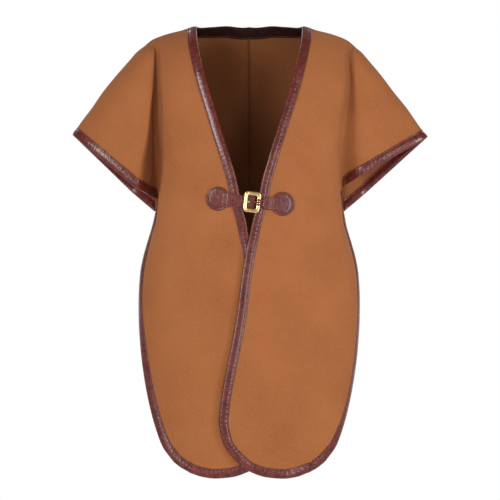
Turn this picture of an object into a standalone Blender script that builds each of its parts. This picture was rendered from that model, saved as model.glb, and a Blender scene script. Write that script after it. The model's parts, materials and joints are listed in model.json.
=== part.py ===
"""Wool cape with short winged sleeves, in the hollow form it has when worn.

Millimetres in the tables, metres in the meshes. Heights in the tables are up from the hem, and
the meshes have their origin between the shoulders, where the wearer holds the cape up. The front
faces -Y, and the wearer's left is at +X. Every cloth piece is a thin wall built on the points of
its own middle surface, and every leather strip is folded over the edge points of the cloth that
it binds.
"""
import math

import bpy
import numpy as np

for leftover in list(bpy.data.objects):
    bpy.data.objects.remove(leftover, do_unlink=True)

MM = 0.001
HELD_HEIGHT = 880.0

# Looks of the plain solids, by a word in the piece's name.
LOOK_COLUMNS = ("word", "material", "red", "green", "blue", "metallic", "roughness")
LOOKS = (
    ("front", "wool", 0.41, 0.14, 0.05, 0.0, 0.9),
    ("back", "wool", 0.41, 0.14, 0.05, 0.0, 0.9),
    ("binding", "leather", 0.15, 0.05, 0.045, 0.0, 0.3),
    ("patch", "leather", 0.15, 0.05, 0.045, 0.0, 0.3),
    ("strap", "leather", 0.15, 0.05, 0.045, 0.0, 0.3),
    ("buckle", "brass", 0.62, 0.39, 0.23, 1.0, 0.3),
)

CLOTH = 2.4
LEATHER = 1.2
CLEAR = 0.4
SEAM_HALF = 0.15
EDGE_BAND = 17.0
NECK_BAND = 24.0
FULLNESS = 2.3
FRONT_ROUND = 110.0
BACK_ROUND = 84.0
LAP_HALF = 3.1

SIDE_SIGN = {"right": -1.0, "left": 1.0}

# Height of the shoulder and upper-arm seam by distance from the middle, and of the yoke's crown.
SHOULDER_COLUMNS = ("x", "front", "back")
SHOULDER = (
    (0.0, 905.0, 948.5),
    (37.0, 903.0, 941.0),
    (76.0, 899.0, 918.0),
    (100.0, 895.6, 899.5),
    (108.0, 894.5, 894.5),
    (139.0, 887.0, 887.0),
    (163.0, 881.0, 881.0),
    (183.0, 874.0, 874.0),
    (195.0, 868.5, 868.5),
    (203.0, 863.0, 863.0),
)

# Depth of the cloth at the middle of the front and of the back, by height.
DEPTH_COLUMNS = ("z", "front", "back")
DEPTH = (
    (0.0, -118.0, 116.0),
    (200.0, -121.0, 122.0),
    (350.0, -116.0, 118.0),
    (450.0, -112.0, 104.0),
    (540.0, -119.0, 98.0),
    (620.0, -122.0, 104.0),
    (700.0, -114.0, 112.0),
    (800.0, -98.0, 112.0),
    (925.0, -80.0, 96.0),
)

# One row a height: where the cloth turns from front to side, where it ends in the valley between
# body and sleeve or lower down at the side slit, and how much of a quarter oval the front covers.
SECTION_COLUMNS = ("z", "turn_x", "turn_y", "side_x", "side_y", "oval")
SECTIONS = {
    ("front", "right"): (
        (0.0, 108.0, -111.8, 124.0, -109.3, 30.0),
        (36.0, 134.0, -107.3, 150.6, -103.5, 37.0),
        (62.0, 153.0, -103.0, 169.5, -98.0, 42.0),
        (94.0, 165.0, -100.0, 182.0, -92.0, 45.0),
        (126.0, 174.0, -96.0, 191.5, -87.0, 48.0),
        (190.0, 188.0, -90.0, 205.0, -78.0, 54.0),
        (254.0, 197.0, -85.0, 213.5, -68.0, 60.0),
        (318.0, 203.0, -78.0, 217.5, -54.0, 66.0),
        (350.0, 205.0, -71.0, 218.0, -42.0, 71.0),
        (398.0, 202.0, -58.0, 216.0, -22.0, 78.0),
        (430.0, 197.5, -51.0, 211.0, -11.0, 83.0),
        (462.0, 192.0, -47.0, 202.5, -4.0, 88.0),
        (494.0, 187.0, -47.0, 193.0, 2.0, 90.0),
        (512.0, 184.0, -49.0, 188.5, 4.0, 90.0),
        (552.0, 179.0, -55.0, 182.0, 5.0, 90.0),
        (584.0, 174.0, -62.0, 182.0, 1.0, 90.0),
        (640.0, 170.0, -70.0, 188.0, -16.0, 90.0),
        (710.0, 170.0, -72.0, 193.0, -34.0, 90.0),
        (790.0, 176.0, -62.0, 191.0, -42.0, 90.0),
        (850.0, 178.0, -54.0, 187.0, -46.0, 90.0),
        (925.0, 178.0, -54.0, 187.0, -46.0, 90.0),
    ),
    ("front", "left"): (
        (0.0, 111.0, -108.0, 124.0, -104.0, 40.0),
        (36.0, 138.0, -101.5, 150.6, -94.0, 48.0),
        (62.0, 158.0, -95.0, 169.5, -84.0, 56.0),
        (94.0, 171.5, -90.0, 182.0, -75.0, 63.0),
        (126.0, 181.5, -86.0, 191.5, -67.0, 70.0),
        (190.0, 196.0, -80.0, 205.0, -56.0, 76.0),
        (254.0, 204.5, -76.0, 213.5, -50.0, 78.0),
        (318.0, 209.0, -70.0, 217.5, -40.0, 80.0),
        (350.0, 210.0, -65.0, 218.0, -33.0, 81.0),
        (398.0, 208.0, -56.0, 216.0, -20.0, 84.0),
        (430.0, 203.0, -51.0, 211.0, -11.0, 86.0),
        (462.0, 195.0, -48.0, 202.5, -4.0, 88.0),
        (494.0, 188.0, -48.0, 193.0, 2.0, 90.0),
        (512.0, 185.5, -50.0, 189.5, 3.5, 90.0),
        (552.0, 181.0, -55.0, 184.0, -1.0, 90.0),
        (586.0, 177.0, -62.0, 184.0, -14.0, 90.0),
        (640.0, 176.0, -70.0, 187.0, -28.0, 90.0),
        (710.0, 183.0, -70.0, 194.0, -38.0, 90.0),
        (790.0, 192.0, -60.0, 200.0, -42.0, 90.0),
        (850.0, 192.0, -54.0, 200.0, -46.0, 90.0),
        (925.0, 192.0, -54.0, 200.0, -46.0, 90.0),
    ),
    ("back", "both"): (
        (0.0, 104.0, 109.0, 119.0, 106.0, 36.0),
        (36.0, 131.5, 104.5, 146.0, 100.0, 41.0),
        (62.0, 150.0, 100.0, 165.0, 93.0, 46.0),
        (94.0, 161.0, 98.0, 177.0, 89.0, 49.0),
        (126.0, 170.0, 95.0, 186.0, 85.0, 52.0),
        (190.0, 183.0, 90.0, 199.5, 77.0, 57.0),
        (254.0, 192.0, 85.0, 208.0, 69.0, 62.0),
        (318.0, 197.0, 78.0, 212.5, 58.0, 68.0),
        (350.0, 198.0, 72.0, 213.0, 50.0, 72.0),
        (398.0, 196.0, 62.0, 210.0, 34.0, 78.0),
        (430.0, 192.0, 55.0, 205.0, 24.0, 83.0),
        (462.0, 187.0, 50.0, 197.5, 16.0, 88.0),
        (494.0, 184.0, 48.0, 190.5, 11.0, 90.0),
        (512.0, 183.0, 48.0, 188.0, 9.5, 90.0),
        (532.0, 181.0, 50.0, 186.0, 13.0, 90.0),
        (560.0, 179.0, 54.0, 185.0, 24.0, 90.0),
        (640.0, 177.0, 66.0, 189.0, 44.0, 90.0),
        (710.0, 179.0, 72.0, 193.0, 52.0, 90.0),
        (790.0, 184.0, 66.0, 195.0, 52.0, 90.0),
        (850.0, 185.0, 58.0, 194.0, 50.0, 90.0),
        (925.0, 185.0, 58.0, 194.0, 50.0, 90.0),
    ),
}
SIDE_EDGE_FOOT = 36.0

# Front edge, hem and side edge of one front, from the neck down and round to the side.
EDGE_COLUMNS = ("x", "z")
FRONT_EDGE = (
    (105.5, 870.0),
    (88.0, 790.0),
    (64.0, 710.0),
    (39.0, 630.0),
    (27.5, 590.0),
    (17.0, 540.0),
    (6.5, 500.0),
    (0.0, 470.0),
    (-7.5, 430.0),
    (-16.5, 370.0),
    (-22.0, 325.0),
    (-35.6, 250.0),
    (-48.0, 190.0),
    (-56.0, 137.0),
    (-57.0, 100.0),
    (-51.0, 73.0),
    (-37.0, 49.0),
    (-18.0, 29.0),
    (8.0, 12.0),
    (36.0, 3.5),
    (68.0, 1.0),
    (94.0, 4.5),
    (118.0, 13.0),
    (136.0, 23.5),
)
NECK_POINT_X = 107.0
NECK_DEPTH = 91.0

BACK_HEM = (
    (0.0, 9.0),
    (60.0, 9.5),
    (100.0, 12.0),
    (130.0, 22.5),
)

# Sleeve: the upper-arm seam seen from the front, and the fold that stands forward beside the
# valley. Share is the way down from the shoulder to the sleeve's hem.
ARM_COLUMNS = ("x", "z")
ARM_SEAM = {
    "right": (
        (208.0, 857.5),
        (224.0, 845.0),
        (238.0, 829.0),
        (266.0, 797.0),
        (292.0, 765.0),
        (314.0, 733.0),
        (338.0, 701.0),
        (351.0, 680.0),
    ),
    "left": (
        (212.0, 854.0),
        (224.0, 844.0),
        (237.0, 829.0),
        (264.0, 797.0),
        (288.0, 765.0),
        (314.0, 733.0),
        (336.0, 701.0),
        (354.0, 676.0),
    ),
}
FOLD_COLUMNS = ("share", "x", "y", "z")
SLEEVE_FOLD = {
    ("front", "right"): (
        (0.0, 197.0, 0.0, 866.5),
        (0.1, 190.0, -38.0, 844.0),
        (0.25, 191.0, -56.0, 797.0),
        (0.45, 197.0, -66.0, 736.0),
        (0.65, 204.0, -70.0, 682.0),
        (0.82, 217.0, -66.0, 632.0),
        (1.0, 227.0, -60.0, 576.0),
    ),
    ("front", "left"): (
        (0.0, 206.0, 0.0, 860.0),
        (0.1, 208.0, -34.0, 842.0),
        (0.25, 212.0, -46.0, 804.0),
        (0.45, 216.0, -46.0, 750.0),
        (0.65, 218.0, -42.0, 698.0),
        (0.82, 222.0, -36.0, 650.0),
        (1.0, 228.0, -32.0, 603.0),
    ),
    ("back", "right"): (
        (0.0, 201.0, 0.0, 864.0),
        (0.1, 206.0, 36.0, 842.0),
        (0.25, 211.0, 54.0, 797.0),
        (0.45, 216.0, 62.0, 736.0),
        (0.65, 221.0, 62.0, 678.0),
        (0.82, 228.0, 56.0, 622.0),
        (1.0, 236.0, 50.0, 568.0),
    ),
    ("back", "left"): (
        (0.0, 206.0, 0.0, 860.0),
        (0.1, 209.0, 36.0, 842.0),
        (0.25, 213.0, 54.0, 797.0),
        (0.45, 218.0, 62.0, 736.0),
        (0.65, 222.0, 62.0, 678.0),
        (0.82, 228.0, 56.0, 622.0),
        (1.0, 236.0, 50.0, 568.0),
    ),
}
VALLEY_END = {
    ("front", "right"): 552.0,
    ("front", "left"): 576.0,
    ("back", "right"): 526.0,
    ("back", "left"): 526.0,
}

BODY_ROWS = 34
BODY_COLUMNS = 12
VALLEY_ROWS = 15
NECK_COLUMNS = 6
CUFF_COLUMNS = (4, 7)
FINE = 12
FOLD_FLAT = 0.55
SLEEVE_FULLNESS = 2.1
HEM_CORNER = (156.0, 43.0)
FRONT_CORNER = (-34.0, 45.0)


def column(rows, names, name):
    """Return one named column of a table as an array."""
    return np.array([row[names.index(name)] for row in rows], dtype=float)


def through(knots, values, at):
    """Smooth curve through table values: cubic pieces whose slopes never overshoot a row."""
    knots = np.asarray(knots, dtype=float)
    values = np.asarray(values, dtype=float)
    at = np.clip(np.asarray(at, dtype=float), knots[0], knots[-1])
    step = np.diff(knots)
    rise = np.diff(values) / step
    slope = np.empty_like(values)
    slope[0] = rise[0]
    slope[-1] = rise[-1]
    before, after = rise[:-1], rise[1:]
    same = before * after > 0.0
    weight = 2.0 * step[1:] + step[:-1]
    other = step[1:] + 2.0 * step[:-1]
    with np.errstate(divide="ignore", invalid="ignore"):
        mean = (weight + other) / (weight / before + other / after)
    slope[1:-1] = np.where(same, mean, 0.0)
    place = np.clip(np.searchsorted(knots, at, side="right") - 1, 0, len(step) - 1)
    length = step[place]
    part = (at - knots[place]) / length
    two, three = part ** 2, part ** 3
    return (
        (2 * three - 3 * two + 1) * values[place]
        + (three - 2 * two + part) * length * slope[place]
        + (3 * two - 2 * three) * values[place + 1]
        + (three - two) * length * slope[place + 1]
    )


def ease(value):
    """Smooth step from 0 to 1."""
    value = np.clip(value, 0.0, 1.0)
    return value * value * (3.0 - 2.0 * value)


class Body:
    """Middle surface of the worn body of the cape, front or back half, over (turn, run).

    turn is the way round from the middle in degrees, 90 where the cloth turns to the side and 180
    in the valley or at the side edge. run is the length down from the shoulder seam.
    """

    def __init__(self, face, side):
        self.face = face
        self.side = side
        self.mirror = SIDE_SIGN[side]
        rows = SECTIONS.get((face, side)) or SECTIONS[(face, "both")]
        self.rows = {name: column(rows, SECTION_COLUMNS, name) for name in SECTION_COLUMNS}
        self.bend = FRONT_ROUND if face == "front" else BACK_ROUND

    def size(self, name, z):
        return through(self.rows["z"], self.rows[name], z)

    def section(self, turn, z):
        """Full-depth x and y: part of an oval to the turn, then a free curve to the side."""
        power = 2.0 / FULLNESS
        oval = np.radians(self.size("oval", z))
        middle = through(column(DEPTH, DEPTH_COLUMNS, "z"), column(DEPTH, DEPTH_COLUMNS, self.face), z)
        turn_x, turn_y = self.size("turn_x", z), self.size("turn_y", z)
        side_x, side_y = self.size("side_x", z), self.size("side_y", z)
        wide = turn_x / np.sin(oval) ** power
        deep = (turn_y - middle) / (1.0 - np.maximum(np.cos(oval), 0.0) ** power)
        angle = np.minimum(np.abs(turn) / 90.0, 1.0) * oval
        cosine = np.maximum(np.cos(angle), 0.0)
        front_x = wide * np.sin(angle) ** power
        front_y = middle + deep * (1.0 - cosine ** power)
        ahead_x = wide * np.sin(oval) ** (power - 1.0) * np.cos(oval)
        ahead_y = deep * np.maximum(np.cos(oval), 0.002) ** (power - 1.0) * np.sin(oval)
        ahead = np.hypot(ahead_x, ahead_y)
        chord = np.hypot(side_x - turn_x, side_y - turn_y)
        sleeve = ease((z - 480.0) / 70.0)
        end_x = (1.0 - sleeve) * (side_x - turn_x) + sleeve * chord
        end_y = (1.0 - sleeve) * (side_y - turn_y)
        t = np.clip(np.abs(turn) / 90.0 - 1.0, 0.0, 1.0)
        near, far = (t ** 3 - 2 * t ** 2 + t), (t ** 3 - t ** 2)
        blend = 3 * t ** 2 - 2 * t ** 3
        past_x = blend * (side_x - turn_x) + chord * near * ahead_x / ahead + far * end_x
        past_y = blend * (side_y - turn_y) + chord * near * ahead_y / ahead + far * end_y
        return np.sign(turn) * (front_x + past_x), front_y + past_y

    def seam_height(self, turn):
        top = np.abs(self.section(turn, np.full(np.shape(turn), 900.0))[0])
        height = column(SHOULDER, SHOULDER_COLUMNS, self.face)
        return through(column(SHOULDER, SHOULDER_COLUMNS, "x"), height, top)

    def lap(self, x, z):
        """The left front lies on the right one, so the two part by a small step at the middle."""
        if self.face == "back":
            return 0.0
        share = ease((150.0 - np.abs(x)) / 80.0) * ease((565.0 - z) / 85.0)
        return -self.mirror * LAP_HALF * share

    def point(self, turn, run):
        turn = np.asarray(turn, dtype=float)
        run = np.asarray(run, dtype=float)
        angle = np.clip(run / self.bend, 0.0, math.pi / 2)
        drop = self.bend * (1.0 - np.cos(angle)) + np.maximum(run - self.bend * math.pi / 2, 0.0)
        z = self.seam_height(turn) - drop
        x, y = self.section(turn, z)
        return np.stack([self.mirror * x, y * np.sin(angle) + self.lap(x, z), z], axis=-1)

    def turn_at(self, x, z):
        """The turn at a distance from the middle, on the front or back of the oval."""
        steps = np.linspace(0.0, 180.0, 361)
        found = []
        for distance, height in zip(np.ravel(x), np.ravel(z)):
            reach = self.section(steps, np.full(len(steps), height))[0]
            rising = int(np.argmax(reach >= min(abs(distance), reach.max())))
            share = np.interp(abs(distance), reach[: rising + 1], steps[: rising + 1])
            found.append(math.copysign(share, distance) if distance else 0.0)
        return np.array(found).reshape(np.shape(x))

    def run_at(self, turn, z):
        drop = np.maximum(self.seam_height(turn) - z, 0.0)
        near = self.bend * np.arccos(np.clip(1.0 - drop / self.bend, -1.0, 1.0))
        return np.where(drop < self.bend, near, self.bend * math.pi / 2 + drop - self.bend)

    def slopes(self, turn, run):
        """Change of the point for a small change of turn and of run."""
        by_turn = (self.point(turn + 0.05, run) - self.point(turn - 0.05, run)) / 0.1
        ahead = self.point(turn, run + 0.2)
        behind = self.point(turn, np.maximum(run - 0.2, 0.0))
        by_run = (ahead - behind) / (0.2 + np.minimum(run, 0.2))[..., None]
        return by_turn, by_run

    def moved(self, turn, run, target):
        """Nearest place on the surface to target, found from (turn, run) in a few steps."""
        for _ in range(6):
            by_turn, by_run = self.slopes(turn, run)
            rest = target - self.point(turn, run)
            aa = (by_turn * by_turn).sum(-1)
            ab = (by_turn * by_run).sum(-1)
            bb = (by_run * by_run).sum(-1)
            ra = (rest * by_turn).sum(-1)
            rb = (rest * by_run).sum(-1)
            scale = aa * bb - ab * ab
            turn = np.clip(turn + (ra * bb - rb * ab) / scale, -60.0, 179.0)
            run = np.maximum(run + (rb * aa - ra * ab) / scale, 0.0)
        return turn, run

    def inset(self, line, width, inward):
        """Edge stations moved into the cloth by width, square to the edge."""
        turn, run = line[:, 0], line[:, 1]
        inner_turn = np.clip(turn, -60.0, 178.5)
        here = self.point(turn, run)
        course = np.gradient(here, axis=0)
        course /= np.linalg.norm(course, axis=1)[:, None]
        by_turn, by_run = self.slopes(inner_turn, run)
        normal = np.cross(by_turn, by_run)
        normal /= np.linalg.norm(normal, axis=1)[:, None]
        into = np.cross(normal, course)
        into *= np.sign((into * (self.point(*inward) - here)).sum(-1))[:, None]
        return np.stack(self.moved(inner_turn, run, here + width * into), axis=1)


def length_along(points):
    steps = np.linalg.norm(np.diff(points, axis=0), axis=1)
    return np.concatenate([[0.0], np.cumsum(steps)])


def resample(line, space, count, density=None):
    """count + 1 stations along a fine line, at even steps or closer where density is larger."""
    length = length_along(space)
    weight = np.ones(len(space)) if density is None else density
    total = np.concatenate([[0.0], np.cumsum(np.diff(length) * 0.5 * (weight[1:] + weight[:-1]))])
    at = np.linspace(0.0, total[-1], count + 1)
    return np.stack([np.interp(at, total, line[:, k]) for k in range(line.shape[1])], axis=1)


def coons(top, bottom, left, right):
    """Fill a grid from its four borders; rows run from top to bottom, columns from left to right."""
    rows, cols = len(left), len(top)
    v = np.linspace(0.0, 1.0, rows)[:, None, None]
    u = np.linspace(0.0, 1.0, cols)[None, :, None]
    edges = (1 - v) * top[None] + v * bottom[None] + (1 - u) * left[:, None] + u * right[:, None]
    upper = (1 - v) * ((1 - u) * top[0] + u * top[-1])
    lower = v * ((1 - u) * bottom[0] + u * bottom[-1])
    return edges - upper - lower


def split(face, corners):
    """Two triangles from a four-sided face, cut along its shorter diagonal."""
    one = np.linalg.norm(corners[0] - corners[2])
    two = np.linalg.norm(corners[1] - corners[3])
    order = (0, 1, 2, 3) if one <= two else (1, 2, 3, 0)
    a, b, c, d = (face[k] for k in order)
    return [part for part in ([a, b, c], [a, c, d]) if len(set(part)) == 3]


class Sheet:
    """Points and faces of one thin piece, welded where patches share points."""

    def __init__(self):
        self.points = []
        self.faces = []
        self.known = {}

    def add(self, point):
        key = tuple(np.round(point, 3) + 0.0)
        if key not in self.known:
            self.known[key] = len(self.points)
            self.points.append(np.asarray(point, dtype=float))
        return self.known[key]

    def patch(self, grid, flip=False, leave_out=()):
        rows, cols = grid.shape[:2]
        index = np.array([[self.add(grid[i, j]) for j in range(cols)] for i in range(rows)])
        for i in range(rows - 1):
            for j in range(cols - 1):
                if (i, j) in leave_out:
                    continue
                face = [index[i, j], index[i + 1, j], index[i + 1, j + 1], index[i, j + 1]]
                if flip:
                    face.reverse()
                self.faces += split(face, [self.points[k] for k in face])
        return index

    def finish(self):
        self.points = np.array(self.points)
        self.normals = np.zeros_like(self.points)
        for face in self.faces:
            corner = self.points[face]
            normal = np.zeros(3)
            for k in range(1, len(face) - 1):
                normal += np.cross(corner[k] - corner[0], corner[k + 1] - corner[0])
            for k in face:
                self.normals[k] += normal / np.linalg.norm(normal)
        lengths = np.linalg.norm(self.normals, axis=1)
        self.normals /= np.where(lengths > 0.0, lengths, 1.0)[:, None]

    def square_to(self, indices, axis):
        """Let the wall's end stand square on the seam plane at these points."""
        on_seam = set(int(i) for i in np.ravel(indices))
        flat = []
        for k in on_seam:
            self.normals[k][axis] = 0.0
            size = np.linalg.norm(self.normals[k])
            if size < 0.1:
                flat.append(k)
            else:
                self.normals[k] /= size
        for k in flat:
            beside = {j for face in self.faces if k in face for j in face if j in on_seam and j not in flat}
            mean = self.normals[sorted(beside)].sum(axis=0)
            self.normals[k] = mean / np.linalg.norm(mean)


def facing_out(vertices, faces):
    """Turn all faces over if the closed body they make has its inside out."""
    volume = 0.0
    for face in faces:
        for k in range(1, len(face) - 1):
            volume += np.dot(vertices[face[0]], np.cross(vertices[face[k]], vertices[face[k + 1]]))
    return [list(reversed(face)) for face in faces] if volume < 0.0 else faces


def look_of(name):
    """The material of a piece, made on first use."""
    words = name.split("_")
    key = "binding" if "binding" in words else words[0]
    look = dict(zip(LOOK_COLUMNS, next(row for row in LOOKS if row[0] == key)))
    if look["material"] not in bpy.data.materials:
        material = bpy.data.materials.new(look["material"])
        material.use_nodes = True
        shader = material.node_tree.nodes["Principled BSDF"]
        shader.inputs["Base Color"].default_value = (look["red"], look["green"], look["blue"], 1.0)
        shader.inputs["Metallic"].default_value = look["metallic"]
        shader.inputs["Roughness"].default_value = look["roughness"]
    return bpy.data.materials[look["material"]]


def make_object(name, vertices, faces):
    """One closed body as a named object, from millimetres above the hem to metres from the origin."""
    faces = facing_out(vertices, faces)
    held = np.array([0.0, 0.0, HELD_HEIGHT])
    mesh = bpy.data.meshes.new(name)
    places = [tuple((vertex - held) * MM) for vertex in vertices]
    mesh.from_pydata(places, [], [tuple(int(i) for i in face) for face in faces])
    mesh.materials.append(look_of(name))
    mesh.update()
    item = bpy.data.objects.new(name, mesh)
    bpy.context.scene.collection.objects.link(item)
    return item


def wall(name, sheet, thickness):
    """Closed wall: the sheet moved half its thickness each way, with its free edges closed."""
    count = len(sheet.points)
    outer = sheet.points + sheet.normals * thickness / 2
    inner = sheet.points - sheet.normals * thickness / 2
    faces = [list(face) for face in sheet.faces]
    faces += [[k + count for k in reversed(face)] for face in sheet.faces]
    edges = {(face[k - 1], face[k]) for face in sheet.faces for k in range(len(face))}
    for a, b in sorted(edges):
        if (b, a) not in edges:
            faces.append([b, a, a + count, b + count])
    return make_object(name, np.concatenate([outer, inner]), faces)


FOLD_CAP = ((0, 1, 8, 9), (1, 2, 8), (2, 3, 7, 8), (3, 4, 7), (4, 5, 6, 7))


def binding(name, edge, inner, edge_normal, inner_normal):
    """Strip folded over an edge: two arms from the edge to the inner stations, and the fold."""
    near = CLOTH / 2 + CLEAR
    far = near + LEATHER
    out = edge - inner
    out /= np.linalg.norm(out, axis=1)[:, None]
    fold = edge + out * (CLEAR + LEATHER)
    bed = edge + out * CLEAR
    ring = np.stack(
        [
            inner + inner_normal * far,
            edge + edge_normal * far,
            fold + edge_normal * far * FOLD_FLAT,
            fold - edge_normal * far * FOLD_FLAT,
            edge - edge_normal * far,
            inner - inner_normal * far,
            inner - inner_normal * near,
            bed - edge_normal * near,
            bed + edge_normal * near,
            inner + inner_normal * near,
        ],
        axis=1,
    )
    count, width = ring.shape[:2]
    faces = []
    for i in range(count - 1):
        for j in range(width):
            k = (j + 1) % width
            face = [i * width + j, i * width + k, (i + 1) * width + k, (i + 1) * width + j]
            first, second = (inner, edge) if j in (0, 6) else (edge, inner)
            over_cloth = [first[i], second[i], second[i + 1], first[i + 1]]
            own = ring[[i, i, i + 1, i + 1], [j, k, k, j]]
            faces += split(face, over_cloth if j in (0, 4, 6, 8) else own)
    for cap in FOLD_CAP:
        faces.append([k for k in reversed(cap)])
        faces.append([k + (count - 1) * width for k in cap])
    return make_object(name, ring.reshape(-1, 3), faces)


def hem_and_side(body):
    """Fine line of the bound edge in (turn, run): front edge or middle back, hem, side edge."""
    table = FRONT_EDGE if body.face == "front" else BACK_HEM
    x = column(table, EDGE_COLUMNS, "x")
    z = column(table, EDGE_COLUMNS, "z")
    turn = body.turn_at(x, z)
    rows = np.stack([turn, z], axis=1)
    if body.face == "front":
        neck_turn = body.turn_at(np.array([NECK_POINT_X]), np.array([900.0]))
        rows = np.concatenate([np.stack([neck_turn, body.seam_height(neck_turn)], axis=1), rows])
    end = VALLEY_END[(body.face, body.side)]
    heights = body.rows["z"]
    heights = heights[(heights >= SIDE_EDGE_FOOT) & (heights < end - 12.0)]
    heights = np.concatenate([heights, [end]])
    side = np.full(len(heights), 180.0)
    rows = np.concatenate([rows, np.stack([side, heights], axis=1)])
    knots = length_along(body.point(rows[:, 0], body.run_at(rows[:, 0], rows[:, 1])))
    at = np.interp(np.arange((len(rows) - 1) * FINE + 1) / FINE, np.arange(len(rows)), knots)
    turn, z = (through(knots, rows[:, k], at) for k in (0, 1))
    return np.stack([turn, body.run_at(turn, z)], axis=1)


def sleeve_lines(body):
    """Valley, standing fold and arm seam of one sleeve half, each as a function of share."""
    key = (body.face, body.side)
    fold = SLEEVE_FOLD[key]
    share = column(fold, FOLD_COLUMNS, "share")
    arm = np.stack([column(ARM_SEAM[body.side], ARM_COLUMNS, name) for name in ARM_COLUMNS], axis=1)
    arm_length = length_along(arm)
    top = float(body.seam_height(np.array(180.0)))

    def valley(t):
        z = top + (VALLEY_END[key] - top) * t
        turn = np.full(np.shape(t), 180.0)
        return body.point(turn, body.run_at(turn, z))

    def standing(t):
        x, y, z = (through(share, column(fold, FOLD_COLUMNS, name), t) for name in ("x", "y", "z"))
        return np.stack([body.mirror * x, y, z], axis=-1)

    def seam(t):
        at = t * arm_length[-1]
        x = through(arm_length, arm[:, 0], at)
        z = through(arm_length, arm[:, 1], at)
        return np.stack([body.mirror * x, np.zeros(np.shape(x)), z], axis=-1)

    return valley, standing, seam


def sleeve_grid(body):
    """Front or back layer of the sleeve, from the valley over the standing fold to the arm seam."""
    valley, standing, seam = sleeve_lines(body)
    rise = np.linspace(0.0, 1.0, CUFF_COLUMNS[0] + 1)
    over = np.linspace(0.0, math.pi / 2, CUFF_COLUMNS[1] + 1)[1:]
    power = 2.0 / SLEEVE_FULLNESS

    def line(t):
        a, b, c = valley(t), standing(t), seam(t)
        first = a[:, None] + (b - a)[:, None] * rise[None, :, None]
        swell = (1.0 - np.cos(math.pi * rise)) / 2
        first[..., 1] = a[:, None, 1] + (b - a)[:, None, 1] * swell
        second = b[:, None] + (c - b)[:, None] * (np.sin(over) ** power)[None, :, None]
        second[..., 1] = c[:, None, 1] + (b - c)[:, None, 1] * np.maximum(np.cos(over), 0.0) ** power
        return np.concatenate([first, second], axis=1)

    before, hem = line(np.array([0.98, 1.0]))
    course = np.gradient(hem, axis=0)
    course /= np.linalg.norm(course, axis=1)[:, None]
    across = np.linalg.norm(np.cross((hem - before) / 0.02, course), axis=1)
    inset = 1.0 - EDGE_BAND / across
    shares = np.linspace(0.0, 1.0, VALLEY_ROWS + 1)
    columns = [line(shares * inset[j])[:, j] for j in range(len(hem))]
    return np.concatenate([np.stack(columns, axis=1), hem[None]], axis=0)


def at_seams(points, body):
    """Move points that lie on a seam plane aside by half the seam's gap."""
    points = points.copy()
    aside = -SEAM_HALF if body.face == "front" else SEAM_HALF
    points[..., 1] = np.where(np.abs(points[..., 1]) < 1e-6, aside, points[..., 1])
    if body.face == "back":
        on_middle = np.abs(points[..., 0]) < 1e-6
        points[..., 0] = np.where(on_middle, body.mirror * SEAM_HALF, points[..., 0])
    return points


def neck_lines(body):
    """Back neck edge, an oval in plan cut out of the yoke, and its stations one band further in."""
    plan = np.linspace(0.0, math.pi / 2, NECK_COLUMNS + 1)
    x, y = NECK_POINT_X * np.sin(plan), NECK_DEPTH * np.cos(plan)
    height = np.full(len(plan), 900.0)
    turn = body.turn_at(x, height)
    depth = body.section(turn, height)[1]
    line = np.stack([turn, body.bend * np.arcsin(np.clip(y / depth, 0.0, 1.0))], axis=1)
    aim = (np.full(len(plan), 60.0), np.full(len(plan), 200.0))
    inner = body.inset(line, NECK_BAND, aim)
    inner[0, 0] = 0.0
    inner[-1, 1] = 0.0
    return line, inner


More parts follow.
